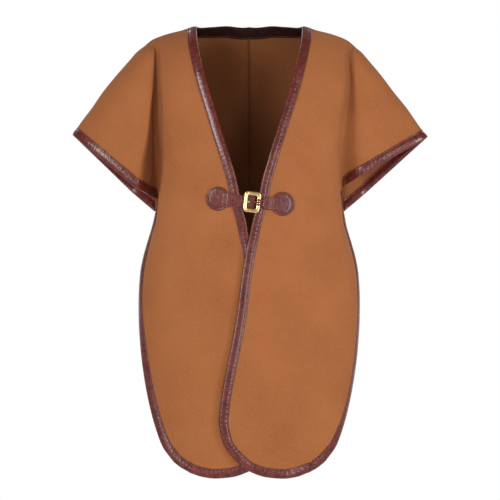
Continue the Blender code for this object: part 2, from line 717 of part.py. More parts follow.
def build_half(face, side):
    """One front or back half in one piece with its sleeve layer: its sheet and edge stations."""
    body = Body(face, side)
    sheet = Sheet()
    flip = (side == "left") != (face == "back")
    grid = sleeve_grid(body)
    side_turn = np.full(len(grid), 180.0)
    valley = np.stack([side_turn, body.run_at(side_turn, grid[:, 0, 2])], axis=1)
    low_rows = BODY_ROWS - (len(grid) - 1)
    fine = hem_and_side(body)
    space = body.point(fine[:, 0], fine[:, 1])
    distance = np.abs(space[:, 0]) * np.sign(space[:, 0] * body.mirror)
    foot = int(np.argmin(np.hypot(distance - HEM_CORNER[0], space[:, 2] - HEM_CORNER[1])))
    closer = 1.0 + 0.8 * ease((170.0 - space[foot:, 2]) / 90.0)
    side_part = resample(fine[foot:], space[foot:], low_rows, closer)
    if face == "front":
        toe = int(np.argmin(np.hypot(distance - FRONT_CORNER[0], space[:, 2] - FRONT_CORNER[1])))
        level = int(np.argmin(np.abs(space[:toe, 2] - grid[-1, 0, 2])))
        upper = resample(fine[: level + 1], space[: level + 1], len(grid) - 1,
                         1.0 + 1.2 * ease((space[: level + 1, 2] - 780.0) / 60.0))
        lower = resample(fine[level : toe + 1], space[level : toe + 1], low_rows,
                         1.0 + 1.0 * ease((190.0 - space[level : toe + 1, 2]) / 90.0))
        hem = resample(fine[toe : foot + 1], space[toe : foot + 1], BODY_COLUMNS)
        edge = np.concatenate([upper, lower[1:], hem[1:], side_part[1:]])
        start = BODY_ROWS
    else:
        edge = np.concatenate([resample(fine[: foot + 1], space[: foot + 1], BODY_COLUMNS), side_part[1:]])
        start = 0
    order = np.arange(len(edge))
    aim_turn = np.interp(order, [0, start, start + BODY_COLUMNS, len(edge)], [75.0, 40.0, 60.0, 70.0])
    aim_run = np.minimum(edge[:, 1], body.run_at(np.array(40.0), 160.0))
    ring = body.inset(edge, EDGE_BAND, (aim_turn, aim_run))
    ring[-1] = valley[-1]
    right = np.concatenate([valley, ring[start + BODY_COLUMNS :][::-1][1:]])
    bottom = ring[start : start + BODY_COLUMNS + 1]
    neck_edge = neck_inner = None
    if face == "front":
        ring[0, 1] = 0.0
        left = ring[: BODY_ROWS + 1]
        seam_start, rest, ahead = left[0, 0], BODY_COLUMNS, np.zeros((0, 2))
    else:
        ring[0, 0] = 0.0
        neck_edge, neck_inner = neck_lines(body)
        down = np.linspace(0.0, 1.0, 400)[:, None]
        middle = neck_inner[0] + (ring[0] - neck_inner[0]) * down
        dense = 1.0 + 0.8 * ease((body.point(middle[:, 0], middle[:, 1])[:, 2] - 560.0) / 60.0)
        left = resample(middle, body.point(middle[:, 0], middle[:, 1]), BODY_ROWS, dense)
        seam_start, rest, ahead = neck_inner[-1, 0], BODY_COLUMNS - NECK_COLUMNS, neck_inner[:-1]
    turns = np.stack([np.linspace(seam_start, 180.0, 300), np.zeros(300)], axis=1)
    top = np.concatenate([ahead, resample(turns, body.point(turns[:, 0], turns[:, 1]), rest)])
    inside = coons(top, bottom, left, right)
    surface = body.point(inside[..., 0], inside[..., 1])
    surface[: len(grid), -1] = grid[:, 0]
    edge_line = body.point(edge[:, 0], edge[:, 1])
    ring_line = body.point(ring[:, 0], ring[:, 1])
    edge_line[-1] = ring_line[-1] = grid[-1, 0]
    main = sheet.patch(at_seams(surface, body), flip)
    sleeve = sheet.patch(at_seams(grid, body), flip)
    strip = sheet.patch(at_seams(np.stack([edge_line, ring_line], axis=1), body), flip)
    half = {"body": body, "sheet": sheet, "edge": strip[:-1], "cuff": sleeve[-2:, 1:]}
    seam = [sleeve[0], sleeve[:, -1]]
    if face == "front":
        seam += [main[0], strip[0]]
    else:
        band = np.stack([body.point(neck_edge[:, 0], neck_edge[:, 1]), surface[0, : NECK_COLUMNS + 1]])
        half["neck"] = sheet.patch(at_seams(band, body), flip)
        seam += [main[0, NECK_COLUMNS:], half["neck"][:, -1]]
    sheet.finish()
    sheet.square_to(np.concatenate([np.ravel(part) for part in seam]), 1)
    if face == "back":
        middle = [main[:, 0], strip[0], half["neck"][:, 0]]
        sheet.square_to(np.concatenate([np.ravel(part) for part in middle]), 0)
    return half


halves = {}
for face_name in ("front", "back"):
    for side_name in ("right", "left"):
        halves[(face_name, side_name)] = build_half(face_name, side_name)
        wall(face_name + "_" + side_name, halves[(face_name, side_name)]["sheet"], CLOTH)


def stations(half, edge, inner):
    """Edge and inner points of a bound edge with their normals."""
    sheet = half["sheet"]
    return [sheet.points[edge], sheet.points[inner], sheet.normals[edge], sheet.normals[inner]]


def through_seam(first, second):
    """Two runs of stations that meet at a seam, as one run through the seam."""
    middle = [(a[-1:] + b[:1]) / 2 for a, b in zip(first, second)]
    return [np.concatenate([a[:-1], m, b[1:]]) for a, m, b in zip(first, middle, second)]


for side_name in ("right", "left"):
    front, back = halves[("front", side_name)], halves[("back", side_name)]
    binding("front_binding_" + side_name, *stations(front, front["edge"][:, 0], front["edge"][:, 1]))
    ahead = stations(front, front["cuff"][1], front["cuff"][0])
    behind = stations(back, back["cuff"][1, ::-1], back["cuff"][0, ::-1])
    binding("sleeve_binding_" + side_name, *through_seam(ahead, behind))

back_r, back_l = halves[("back", "right")], halves[("back", "left")]
low_r = stations(back_r, back_r["edge"][::-1, 0], back_r["edge"][::-1, 1])
low_l = stations(back_l, back_l["edge"][:, 0], back_l["edge"][:, 1])
binding("back_binding", *through_seam(low_r, low_l))
neck_r = stations(back_r, back_r["neck"][0, ::-1], back_r["neck"][1, ::-1])
neck_l = stations(back_l, back_l["neck"][0], back_l["neck"][1])
binding("neck_binding", *through_seam(neck_r, neck_l))


# Closure. Heights are of a piece's own middle above the middle of the cloth under it.
CLOSURE_MIDDLE = (5.4, 544.5)
CLOSURE_SLOPE = math.radians(4.6)
PATCH_RADIUS = 23.6
PATCH_THICK = 1.8
PATCH_HEIGHT = CLOTH / 2 + CLEAR + PATCH_THICK / 2
PATCH_MIDDLES = {"right": (-67.6, 1.2), "left": (60.4, 1.2)}
BRIDGE_HALF = 25.0
STRAP_THICK = 1.6
STRAP_WIDTH = 24.0
STRAP_HEIGHT = PATCH_HEIGHT + PATCH_THICK / 2 + 0.3 + STRAP_THICK / 2
FRAME_HALF = (16.4, 20.5)
WINDOW_HALF = (9.4, 12.9)
FRAME_CORNER = 7.0
WINDOW_CORNER = 3.5
FRAME_THICK = 3.2
FRAME_TILT = math.radians(2.4)
FRAME_HEIGHT = STRAP_HEIGHT + STRAP_THICK / 2 + 0.6 + FRAME_THICK / 2
OVER_BAR = FRAME_HEIGHT + FRAME_THICK / 2 + 0.5
BAR_CLEAR = 0.6
LOOP_HALF = 6.2
SLOT_HALF = 2.7
PRONG_THICK = 1.9


def cloth_depth(x, z):
    """y of the middle of the fronts at seen places; between the two edges it is carried across."""
    depth = np.full(np.shape(x), np.nan)
    for side in ("right", "left"):
        sheet = halves[("front", side)]["sheet"]
        corner = sheet.points[np.array(sheet.faces)]
        near = (np.abs(corner[:, 0, 2] - CLOSURE_MIDDLE[1]) < 110.0) & (np.abs(corner[:, 0, 0]) < 150.0)
        a, b, c = (corner[near, k] for k in range(3))
        area = (b[:, 0] - a[:, 0]) * (c[:, 2] - a[:, 2]) - (c[:, 0] - a[:, 0]) * (b[:, 2] - a[:, 2])
        px, pz = np.asarray(x)[..., None], np.asarray(z)[..., None]
        u = ((px - a[:, 0]) * (c[:, 2] - a[:, 2]) - (c[:, 0] - a[:, 0]) * (pz - a[:, 2])) / area
        v = ((b[:, 0] - a[:, 0]) * (pz - a[:, 2]) - (px - a[:, 0]) * (b[:, 2] - a[:, 2])) / area
        inside = (u > -1e-6) & (v > -1e-6) & (u + v < 1.0 + 1e-6)
        y = a[:, 1] + u * (b[:, 1] - a[:, 1]) + v * (c[:, 1] - a[:, 1])
        found = np.where(inside, y, np.inf).min(axis=-1)
        depth = np.where(np.isfinite(found), found, depth)
    return depth


def closure_point(along, across, height):
    """Place in the closure's own frame: along the strap, across it, and out from the cloth."""
    along, across, height = np.broadcast_arrays(along, across, height)
    x = CLOSURE_MIDDLE[0] + along * math.cos(CLOSURE_SLOPE) + across * math.sin(CLOSURE_SLOPE)
    z = CLOSURE_MIDDLE[1] - along * math.sin(CLOSURE_SLOPE) + across * math.cos(CLOSURE_SLOPE)
    rim = BRIDGE_HALF
    left = cloth_depth(np.minimum(x, -rim), z)
    right = cloth_depth(np.maximum(x, rim), z)
    share = np.clip((x + rim) / (2.0 * rim), 0.0, 1.0)
    base = left + (right - left) * share
    return np.stack([x, base - height, z], axis=-1)


def patch_disc(side):
    """Round patch laid on one front."""
    middle = PATCH_MIDDLES[side]
    rings = np.array([0.0, 0.35, 0.7, 1.0]) * PATCH_RADIUS
    angle = np.linspace(0.0, 2.0 * math.pi, 25)
    along = middle[0] + rings[:, None] * np.cos(angle)
    across = middle[1] + rings[:, None] * np.sin(angle)
    sheet = Sheet()
    sheet.patch(closure_point(along, across, PATCH_HEIGHT))
    sheet.finish()
    wall("patch_" + side, sheet, PATCH_THICK)


def ribbon(name, path, half_widths, thickness, slot=None):
    """Flat strip along a path of (along, height) with its half width at each row of the path."""
    path = np.array(path)
    part = np.array([-1.0, -0.5, 0.0, 0.5, 1.0])
    across = np.array(half_widths)[:, None] * part
    leave_out = set()
    if slot is not None:
        rows, half = slot
        across[rows[0] : rows[1] + 1] = np.sign(part) * np.array([LOOP_HALF, half, 0.0, half, LOOP_HALF])
        leave_out = {(i, j) for i in range(rows[0], rows[1]) for j in (1, 2)}
    sheet = Sheet()
    sheet.patch(closure_point(path[:, :1], across, path[:, 1:]), leave_out=leave_out)
    used = np.zeros(len(sheet.points), dtype=bool)
    used[np.unique(np.array(sheet.faces))] = True
    renumber = np.cumsum(used) - 1
    sheet.points = [p for p, keep in zip(sheet.points, used) if keep]
    sheet.faces = [[int(renumber[k]) for k in face] for face in sheet.faces]
    sheet.finish()
    wall(name, sheet, thickness)


def round_end(start, direction):
    """Distances and half widths of a half-round strap end, from its tip inwards."""
    angle = np.radians([8.0, 28.0, 50.0, 70.0, 90.0])
    half = STRAP_WIDTH / 2
    return [(start + direction * half * (1.0 - math.cos(a)), half * math.sin(a)) for a in angle]


def straps():
    """Both closure straps: the right one lies flat, the left one loops round the right bar."""
    end = round_end(-71.0, 1.0)
    rest = [-48.0, -38.0, -28.0, -18.0, -8.0, 5.2]
    path = [(place, STRAP_HEIGHT) for place, _ in end] + [(place, STRAP_HEIGHT) for place in rest]
    ribbon("strap_right", path, [half for _, half in end] + [STRAP_WIDTH / 2] * len(rest), STRAP_THICK)
    end = round_end(62.0, -1.0)
    left = WINDOW_HALF[0] - BAR_CLEAR - STRAP_THICK / 2
    over = OVER_BAR + STRAP_THICK / 2
    upper = STRAP_HEIGHT + STRAP_THICK + 0.4
    path = [(place, STRAP_HEIGHT) for place, _ in end] + [
        (43.0, STRAP_HEIGHT),
        (38.5, STRAP_HEIGHT + 0.8),
        (34.5, upper),
        (27.5, upper),
        (22.6, upper + 0.2),
    ]
    loop = [
        (21.8, upper + 0.8),
        (18.3, over - 0.3),
        (14.0, over),
        (9.6, over),
        (left + 0.6, over - 1.0),
        (left, FRAME_HEIGHT),
        (left + 0.6, STRAP_HEIGHT + 1.0),
        (9.6, STRAP_HEIGHT),
        (14.0, STRAP_HEIGHT),
        (19.0, STRAP_HEIGHT),
        (27.0, STRAP_HEIGHT),
    ]
    widths = [half for _, half in end] + [STRAP_WIDTH / 2] * 5 + [LOOP_HALF] * len(loop)
    first = len(path)
    ribbon("strap_left", path + loop, widths, STRAP_THICK, slot=((first, first + 8), SLOT_HALF))


def rounded_rectangle(half, corner, count):
    """Points of a rounded rectangle, a like number on each quarter."""
    points = []
    for quarter in range(4):
        sign_x = (1.0, -1.0, -1.0, 1.0)[quarter]
        sign_y = (1.0, 1.0, -1.0, -1.0)[quarter]
        for step in range(count):
            angle = math.pi / 2 * (quarter + step / (count - 1))
            points.append((sign_x * (half[0] - corner) + corner * math.cos(angle),
                           sign_y * (half[1] - corner) + corner * math.sin(angle)))
    return np.array(points)


def buckle_frame():
    """Flat brass frame with eased edges round a rounded window."""
    outer = rounded_rectangle(FRAME_HALF, FRAME_CORNER, 6)
    inner = rounded_rectangle(WINDOW_HALF, WINDOW_CORNER, 6)
    profile = (
        (0.0, 0.3),
        (0.0, 0.7),
        (0.16, 1.0),
        (0.84, 1.0),
        (1.0, 0.7),
        (1.0, 0.3),
        (0.84, 0.0),
        (0.16, 0.0),
    )
    middle = closure_point(0.0, 0.0, 0.0)
    rings = []
    for share, rise in profile:
        flat = outer + (inner - outer) * share
        along = flat[:, 0] * math.cos(FRAME_TILT) + flat[:, 1] * math.sin(FRAME_TILT)
        across = flat[:, 1] * math.cos(FRAME_TILT) - flat[:, 0] * math.sin(FRAME_TILT)
        points = closure_point(along, across, FRAME_HEIGHT + (rise - 0.5) * FRAME_THICK)
        points[:, 1] = middle[1] - FRAME_HEIGHT - (rise - 0.5) * FRAME_THICK
        rings.append(points)
    rings = np.stack(rings, axis=1)
    count, width = rings.shape[:2]
    faces = []
    for i in range(count):
        for j in range(width):
            n, k = (i + 1) % count, (j + 1) % width
            faces.append([i * width + j, i * width + k, n * width + k, n * width + j])
    make_object("buckle_frame", rings.reshape(-1, 3), faces)


def buckle_prong():
    """Prong hooked over the right bar, through the strap's slot, its tip on the left bar."""
    rest = OVER_BAR + PRONG_THICK / 2
    path = (
        (18.0, FRAME_HEIGHT - 0.6),
        (18.1, FRAME_HEIGHT + 1.0),
        (16.8, rest + 0.1),
        (12.5, rest + 0.4),
        (6.5, rest + 0.1),
        (0.0, rest),
        (-8.0, rest),
        (-13.5, rest),
    )
    ribbon("buckle_prong", path, [1.9, 1.9, 1.9, 1.9, 1.8, 1.7, 1.5, 1.0], PRONG_THICK)


for side_name in ("right", "left"):
    patch_disc(side_name)
straps()
buckle_frame()
buckle_prong()
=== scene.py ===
"""Looks of a wool cape with leather-bound edges and a strap and buckle closure.

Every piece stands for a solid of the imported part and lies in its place. Tables are in millimetres,
with heights up from the hem; meshes are in metres, with the origin between the wearer's shoulders.
"""
import json
import math

import bmesh
import bpy
import numpy as np
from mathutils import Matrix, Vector

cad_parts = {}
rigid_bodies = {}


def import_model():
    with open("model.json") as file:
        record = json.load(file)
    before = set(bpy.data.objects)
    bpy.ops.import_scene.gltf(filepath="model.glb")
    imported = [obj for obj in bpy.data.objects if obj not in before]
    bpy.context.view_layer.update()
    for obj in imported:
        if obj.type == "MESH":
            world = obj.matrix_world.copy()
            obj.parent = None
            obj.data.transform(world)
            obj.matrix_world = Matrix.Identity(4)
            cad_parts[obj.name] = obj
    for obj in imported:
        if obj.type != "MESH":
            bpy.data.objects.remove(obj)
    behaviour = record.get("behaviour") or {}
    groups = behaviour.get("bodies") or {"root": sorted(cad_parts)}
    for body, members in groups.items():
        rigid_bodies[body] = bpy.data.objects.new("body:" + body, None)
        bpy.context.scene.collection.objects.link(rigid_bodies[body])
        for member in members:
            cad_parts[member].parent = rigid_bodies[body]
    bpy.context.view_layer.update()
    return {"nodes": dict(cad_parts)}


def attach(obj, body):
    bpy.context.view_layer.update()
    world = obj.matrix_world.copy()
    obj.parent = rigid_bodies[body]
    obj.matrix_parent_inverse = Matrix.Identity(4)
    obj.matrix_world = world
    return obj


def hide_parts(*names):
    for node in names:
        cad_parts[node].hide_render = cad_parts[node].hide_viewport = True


for leftover in list(bpy.data.objects):
    bpy.data.objects.remove(leftover, do_unlink=True)

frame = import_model()
scene = bpy.context.scene


# Cloth halves. Four cut pieces of tan wool coating, each a front or back half in one with its layer
# of the short winged sleeve. They are sewn at the middle of the back, the shoulders and the upper
# arms. Each is one surface over turn and run, with the sleeve from the valley to the arm seam.

# A millimetre in metres, the origin's height over the hem, the cloth's thickness, the widths of
# the bound bands, and the sign of x on each side.
MM = 0.001
HELD_HEIGHT = 880.0
CLOTH = 2.4
EDGE_BAND = 17.0
NECK_BAND = 24.0
SIDE_SIGN = {"right": -1.0, "left": 1.0}

# Powers of the ovals that the body's plan and the sleeve follow, the radii of the shoulder's fall,
# and the height at which the shoulder seam's plan is taken.
FULLNESS = 2.3
SLEEVE_FULLNESS = 2.1
FRONT_ROUND = 110.0
BACK_ROUND = 84.0
YOKE_HEIGHT = 900.0

# The side turns from a slit's edge into a valley from SIDE_TURN up, over SIDE_TURN_FADE. LEAST_COSINE
# keeps the oval's slope finite where it ends square.
SIDE_TURN = 480.0
SIDE_TURN_FADE = 70.0
LEAST_COSINE = 0.002

# The left front lies on the right one: half the step between them, and where it ends and how fast,
# across and upwards.
LAP_HALF = 3.1
LAP_ACROSS = (150.0, 80.0)
LAP_UPWARDS = (565.0, 85.0)

# Small steps for slopes, and the search for a place on the surface.
SMALL_TURN = 0.05
SMALL_RUN = 0.2
SEARCH_ROUNDS = 6
TURN_LIMITS = (-60.0, 179.0)
TURN_STEPS = 361

# Height of the shoulder and upper-arm seam by distance from the middle, and of the yoke's crown.
SHOULDER_COLUMNS = ("x", "front", "back")
SHOULDER = (
    (0.0, 905.0, 948.5),
    (37.0, 903.0, 941.0),
    (76.0, 899.0, 918.0),
    (100.0, 895.6, 899.5),
    (108.0, 894.5, 894.5),
    (139.0, 887.0, 887.0),
    (163.0, 881.0, 881.0),
    (183.0, 874.0, 874.0),
    (195.0, 868.5, 868.5),
    (203.0, 863.0, 863.0),
)

# Depth of the cloth at the middle of the front and of the back, by height.
DEPTH_COLUMNS = ("z", "front", "back")
DEPTH = (
    (0.0, -118.0, 116.0),
    (200.0, -121.0, 122.0),
    (350.0, -116.0, 118.0),
    (450.0, -112.0, 104.0),
    (540.0, -119.0, 98.0),
    (620.0, -122.0, 104.0),
    (700.0, -114.0, 112.0),
    (800.0, -98.0, 112.0),
    (925.0, -80.0, 96.0),
)

# One row a height: where the cloth turns from front to side, where it ends in the valley between
# body and sleeve or lower down at the side slit, and how much of a quarter oval the front covers.
SECTION_COLUMNS = ("z", "turn_x", "turn_y", "side_x", "side_y", "oval")
SECTIONS = {
    ("front", "right"): (
        (0.0, 108.0, -111.8, 124.0, -109.3, 30.0),
        (36.0, 134.0, -107.3, 150.6, -103.5, 37.0),
        (62.0, 153.0, -103.0, 169.5, -98.0, 42.0),
        (94.0, 165.0, -100.0, 182.0, -92.0, 45.0),
        (126.0, 174.0, -96.0, 191.5, -87.0, 48.0),
        (190.0, 188.0, -90.0, 205.0, -78.0, 54.0),
        (254.0, 197.0, -85.0, 213.5, -68.0, 60.0),
        (318.0, 203.0, -78.0, 217.5, -54.0, 66.0),
        (350.0, 205.0, -71.0, 218.0, -42.0, 71.0),
        (398.0, 202.0, -58.0, 216.0, -22.0, 78.0),
        (430.0, 197.5, -51.0, 211.0, -11.0, 83.0),
        (462.0, 192.0, -47.0, 202.5, -4.0, 88.0),
        (494.0, 187.0, -47.0, 193.0, 2.0, 90.0),
        (512.0, 184.0, -49.0, 188.5, 4.0, 90.0),
        (552.0, 179.0, -55.0, 182.0, 5.0, 90.0),
        (584.0, 174.0, -62.0, 182.0, 1.0, 90.0),
        (640.0, 170.0, -70.0, 188.0, -16.0, 90.0),
        (710.0, 170.0, -72.0, 193.0, -34.0, 90.0),
        (790.0, 176.0, -62.0, 191.0, -42.0, 90.0),
        (850.0, 178.0, -54.0, 187.0, -46.0, 90.0),
        (925.0, 178.0, -54.0, 187.0, -46.0, 90.0),
    ),
    ("front", "left"): (
        (0.0, 111.0, -108.0, 124.0, -104.0, 40.0),
        (36.0, 138.0, -101.5, 150.6, -94.0, 48.0),
        (62.0, 158.0, -95.0, 169.5, -84.0, 56.0),
        (94.0, 171.5, -90.0, 182.0, -75.0, 63.0),
        (126.0, 181.5, -86.0, 191.5, -67.0, 70.0),
        (190.0, 196.0, -80.0, 205.0, -56.0, 76.0),
        (254.0, 204.5, -76.0, 213.5, -50.0, 78.0),
        (318.0, 209.0, -70.0, 217.5, -40.0, 80.0),
        (350.0, 210.0, -65.0, 218.0, -33.0, 81.0),
        (398.0, 208.0, -56.0, 216.0, -20.0, 84.0),
        (430.0, 203.0, -51.0, 211.0, -11.0, 86.0),
        (462.0, 195.0, -48.0, 202.5, -4.0, 88.0),
        (494.0, 188.0, -48.0, 193.0, 2.0, 90.0),
        (512.0, 185.5, -50.0, 189.5, 3.5, 90.0),
        (552.0, 181.0, -55.0, 184.0, -1.0, 90.0),
        (586.0, 177.0, -62.0, 184.0, -14.0, 90.0),
        (640.0, 176.0, -70.0, 187.0, -28.0, 90.0),
        (710.0, 183.0, -70.0, 194.0, -38.0, 90.0),
        (790.0, 192.0, -60.0, 200.0, -42.0, 90.0),
        (850.0, 192.0, -54.0, 200.0, -46.0, 90.0),
        (925.0, 192.0, -54.0, 200.0, -46.0, 90.0),
    ),
    ("back", "both"): (
        (0.0, 104.0, 109.0, 119.0, 106.0, 36.0),
        (36.0, 131.5, 104.5, 146.0, 100.0, 41.0),
        (62.0, 150.0, 100.0, 165.0, 93.0, 46.0),
        (94.0, 161.0, 98.0, 177.0, 89.0, 49.0),
        (126.0, 170.0, 95.0, 186.0, 85.0, 52.0),
        (190.0, 183.0, 90.0, 199.5, 77.0, 57.0),
        (254.0, 192.0, 85.0, 208.0, 69.0, 62.0),
        (318.0, 197.0, 78.0, 212.5, 58.0, 68.0),
        (350.0, 198.0, 72.0, 213.0, 50.0, 72.0),
        (398.0, 196.0, 62.0, 210.0, 34.0, 78.0),
        (430.0, 192.0, 55.0, 205.0, 24.0, 83.0),
        (462.0, 187.0, 50.0, 197.5, 16.0, 88.0),
        (494.0, 184.0, 48.0, 190.5, 11.0, 90.0),
        (512.0, 183.0, 48.0, 188.0, 9.5, 90.0),
        (532.0, 181.0, 50.0, 186.0, 13.0, 90.0),
        (560.0, 179.0, 54.0, 185.0, 24.0, 90.0),
        (640.0, 177.0, 66.0, 189.0, 44.0, 90.0),
        (710.0, 179.0, 72.0, 193.0, 52.0, 90.0),
        (790.0, 184.0, 66.0, 195.0, 52.0, 90.0),
        (850.0, 185.0, 58.0, 194.0, 50.0, 90.0),
        (925.0, 185.0, 58.0, 194.0, 50.0, 90.0),
    ),
}
SIDE_EDGE_FOOT = 36.0
VALLEY_GAP = 12.0

# Front edge, hem and side edge of one front, from the neck down and round to the side.
EDGE_COLUMNS = ("x", "z")
FRONT_EDGE = (
    (105.5, 870.0),
    (88.0, 790.0),
    (64.0, 710.0),
    (39.0, 630.0),
    (27.5, 590.0),
    (17.0, 540.0),
    (6.5, 500.0),
    (0.0, 470.0),
    (-7.5, 430.0),
    (-16.5, 370.0),
    (-22.0, 325.0),
    (-35.6, 250.0),
    (-48.0, 190.0),
    (-56.0, 137.0),
    (-57.0, 100.0),
    (-51.0, 73.0),
    (-37.0, 49.0),
    (-18.0, 29.0),
    (8.0, 12.0),
    (36.0, 3.5),
    (68.0, 1.0),
    (94.0, 4.5),
    (118.0, 13.0),
    (136.0, 23.5),
)
NECK_POINT_X = 107.0
NECK_DEPTH = 91.0

BACK_HEM = (
    (0.0, 9.0),
    (60.0, 9.5),
    (100.0, 12.0),
    (130.0, 22.5),
)

# Sleeve: the upper-arm seam seen from the front, and the fold that stands forward beside the
# valley. Share is the way down from the shoulder to the sleeve's hem.
ARM_COLUMNS = ("x", "z")
ARM_SEAM = {
    "right": (
        (208.0, 857.5),
        (224.0, 845.0),
        (238.0, 829.0),
        (266.0, 797.0),
        (292.0, 765.0),
        (314.0, 733.0),
        (338.0, 701.0),
        (351.0, 680.0),
    ),
    "left": (
        (212.0, 854.0),
        (224.0, 844.0),
        (237.0, 829.0),
        (264.0, 797.0),
        (288.0, 765.0),
        (314.0, 733.0),
        (336.0, 701.0),
        (354.0, 676.0),
    ),
}
FOLD_COLUMNS = ("share", "x", "y", "z")
SLEEVE_FOLD = {
    ("front", "right"): (
        (0.0, 197.0, 0.0, 866.5),
        (0.1, 190.0, -38.0, 844.0),
        (0.25, 191.0, -56.0, 797.0),
        (0.45, 197.0, -66.0, 736.0),
        (0.65, 204.0, -70.0, 682.0),
        (0.82, 217.0, -66.0, 632.0),
        (1.0, 227.0, -60.0, 576.0),
    ),
    ("front", "left"): (
        (0.0, 206.0, 0.0, 860.0),
        (0.1, 208.0, -34.0, 842.0),
        (0.25, 212.0, -46.0, 804.0),
        (0.45, 216.0, -46.0, 750.0),
        (0.65, 218.0, -42.0, 698.0),
        (0.82, 222.0, -36.0, 650.0),
        (1.0, 228.0, -32.0, 603.0),
    ),
    ("back", "right"): (
        (0.0, 201.0, 0.0, 864.0),
        (0.1, 206.0, 36.0, 842.0),
        (0.25, 211.0, 54.0, 797.0),
        (0.45, 216.0, 62.0, 736.0),
        (0.65, 221.0, 62.0, 678.0),
        (0.82, 228.0, 56.0, 622.0),
        (1.0, 236.0, 50.0, 568.0),
    ),
    ("back", "left"): (
        (0.0, 206.0, 0.0, 860.0),
        (0.1, 209.0, 36.0, 842.0),
        (0.25, 213.0, 54.0, 797.0),
        (0.45, 218.0, 62.0, 736.0),
        (0.65, 222.0, 62.0, 678.0),
        (0.82, 228.0, 56.0, 622.0),
        (1.0, 236.0, 50.0, 568.0),
    ),
}
VALLEY_END = {
    ("front", "right"): 552.0,
    ("front", "left"): 576.0,
    ("back", "right"): 526.0,
    ("back", "left"): 526.0,
}
FINE = 60


def column(rows, names, name):
    """Return one named column of a table as an array."""
    return np.array([row[names.index(name)] for row in rows], dtype=float)


def through(knots, values, at):
    """Smooth curve through table values: cubic pieces whose slopes never overshoot a row."""
    knots = np.asarray(knots, dtype=float)
    values = np.asarray(values, dtype=float)
    at = np.clip(np.asarray(at, dtype=float), knots[0], knots[-1])
    step = np.diff(knots)
    rise = np.diff(values) / step
    slope = np.empty_like(values)
    slope[0] = rise[0]
    slope[-1] = rise[-1]
    before, after = rise[:-1], rise[1:]
    same = before * after > 0.0
    weight = 2.0 * step[1:] + step[:-1]
    other = step[1:] + 2.0 * step[:-1]
    with np.errstate(divide="ignore", invalid="ignore"):
        mean = (weight + other) / (weight / before + other / after)
    slope[1:-1] = np.where(same, mean, 0.0)
    place = np.clip(np.searchsorted(knots, at, side="right") - 1, 0, len(step) - 1)
    length = step[place]
    part = (at - knots[place]) / length
    two, three = part ** 2, part ** 3
    return (
        (2 * three - 3 * two + 1) * values[place]
        + (three - 2 * two + part) * length * slope[place]
        + (3 * two - 2 * three) * values[place + 1]
        + (three - two) * length * slope[place + 1]
    )


def ease(value):
    """Smooth step from 0 to 1."""
    value = np.clip(value, 0.0, 1.0)
    return value * value * (3.0 - 2.0 * value)


def middle_depth(face, z):
    """Depth of the cloth at the middle of the front or back, at a height."""
    return through(column(DEPTH, DEPTH_COLUMNS, "z"), column(DEPTH, DEPTH_COLUMNS, face), z)


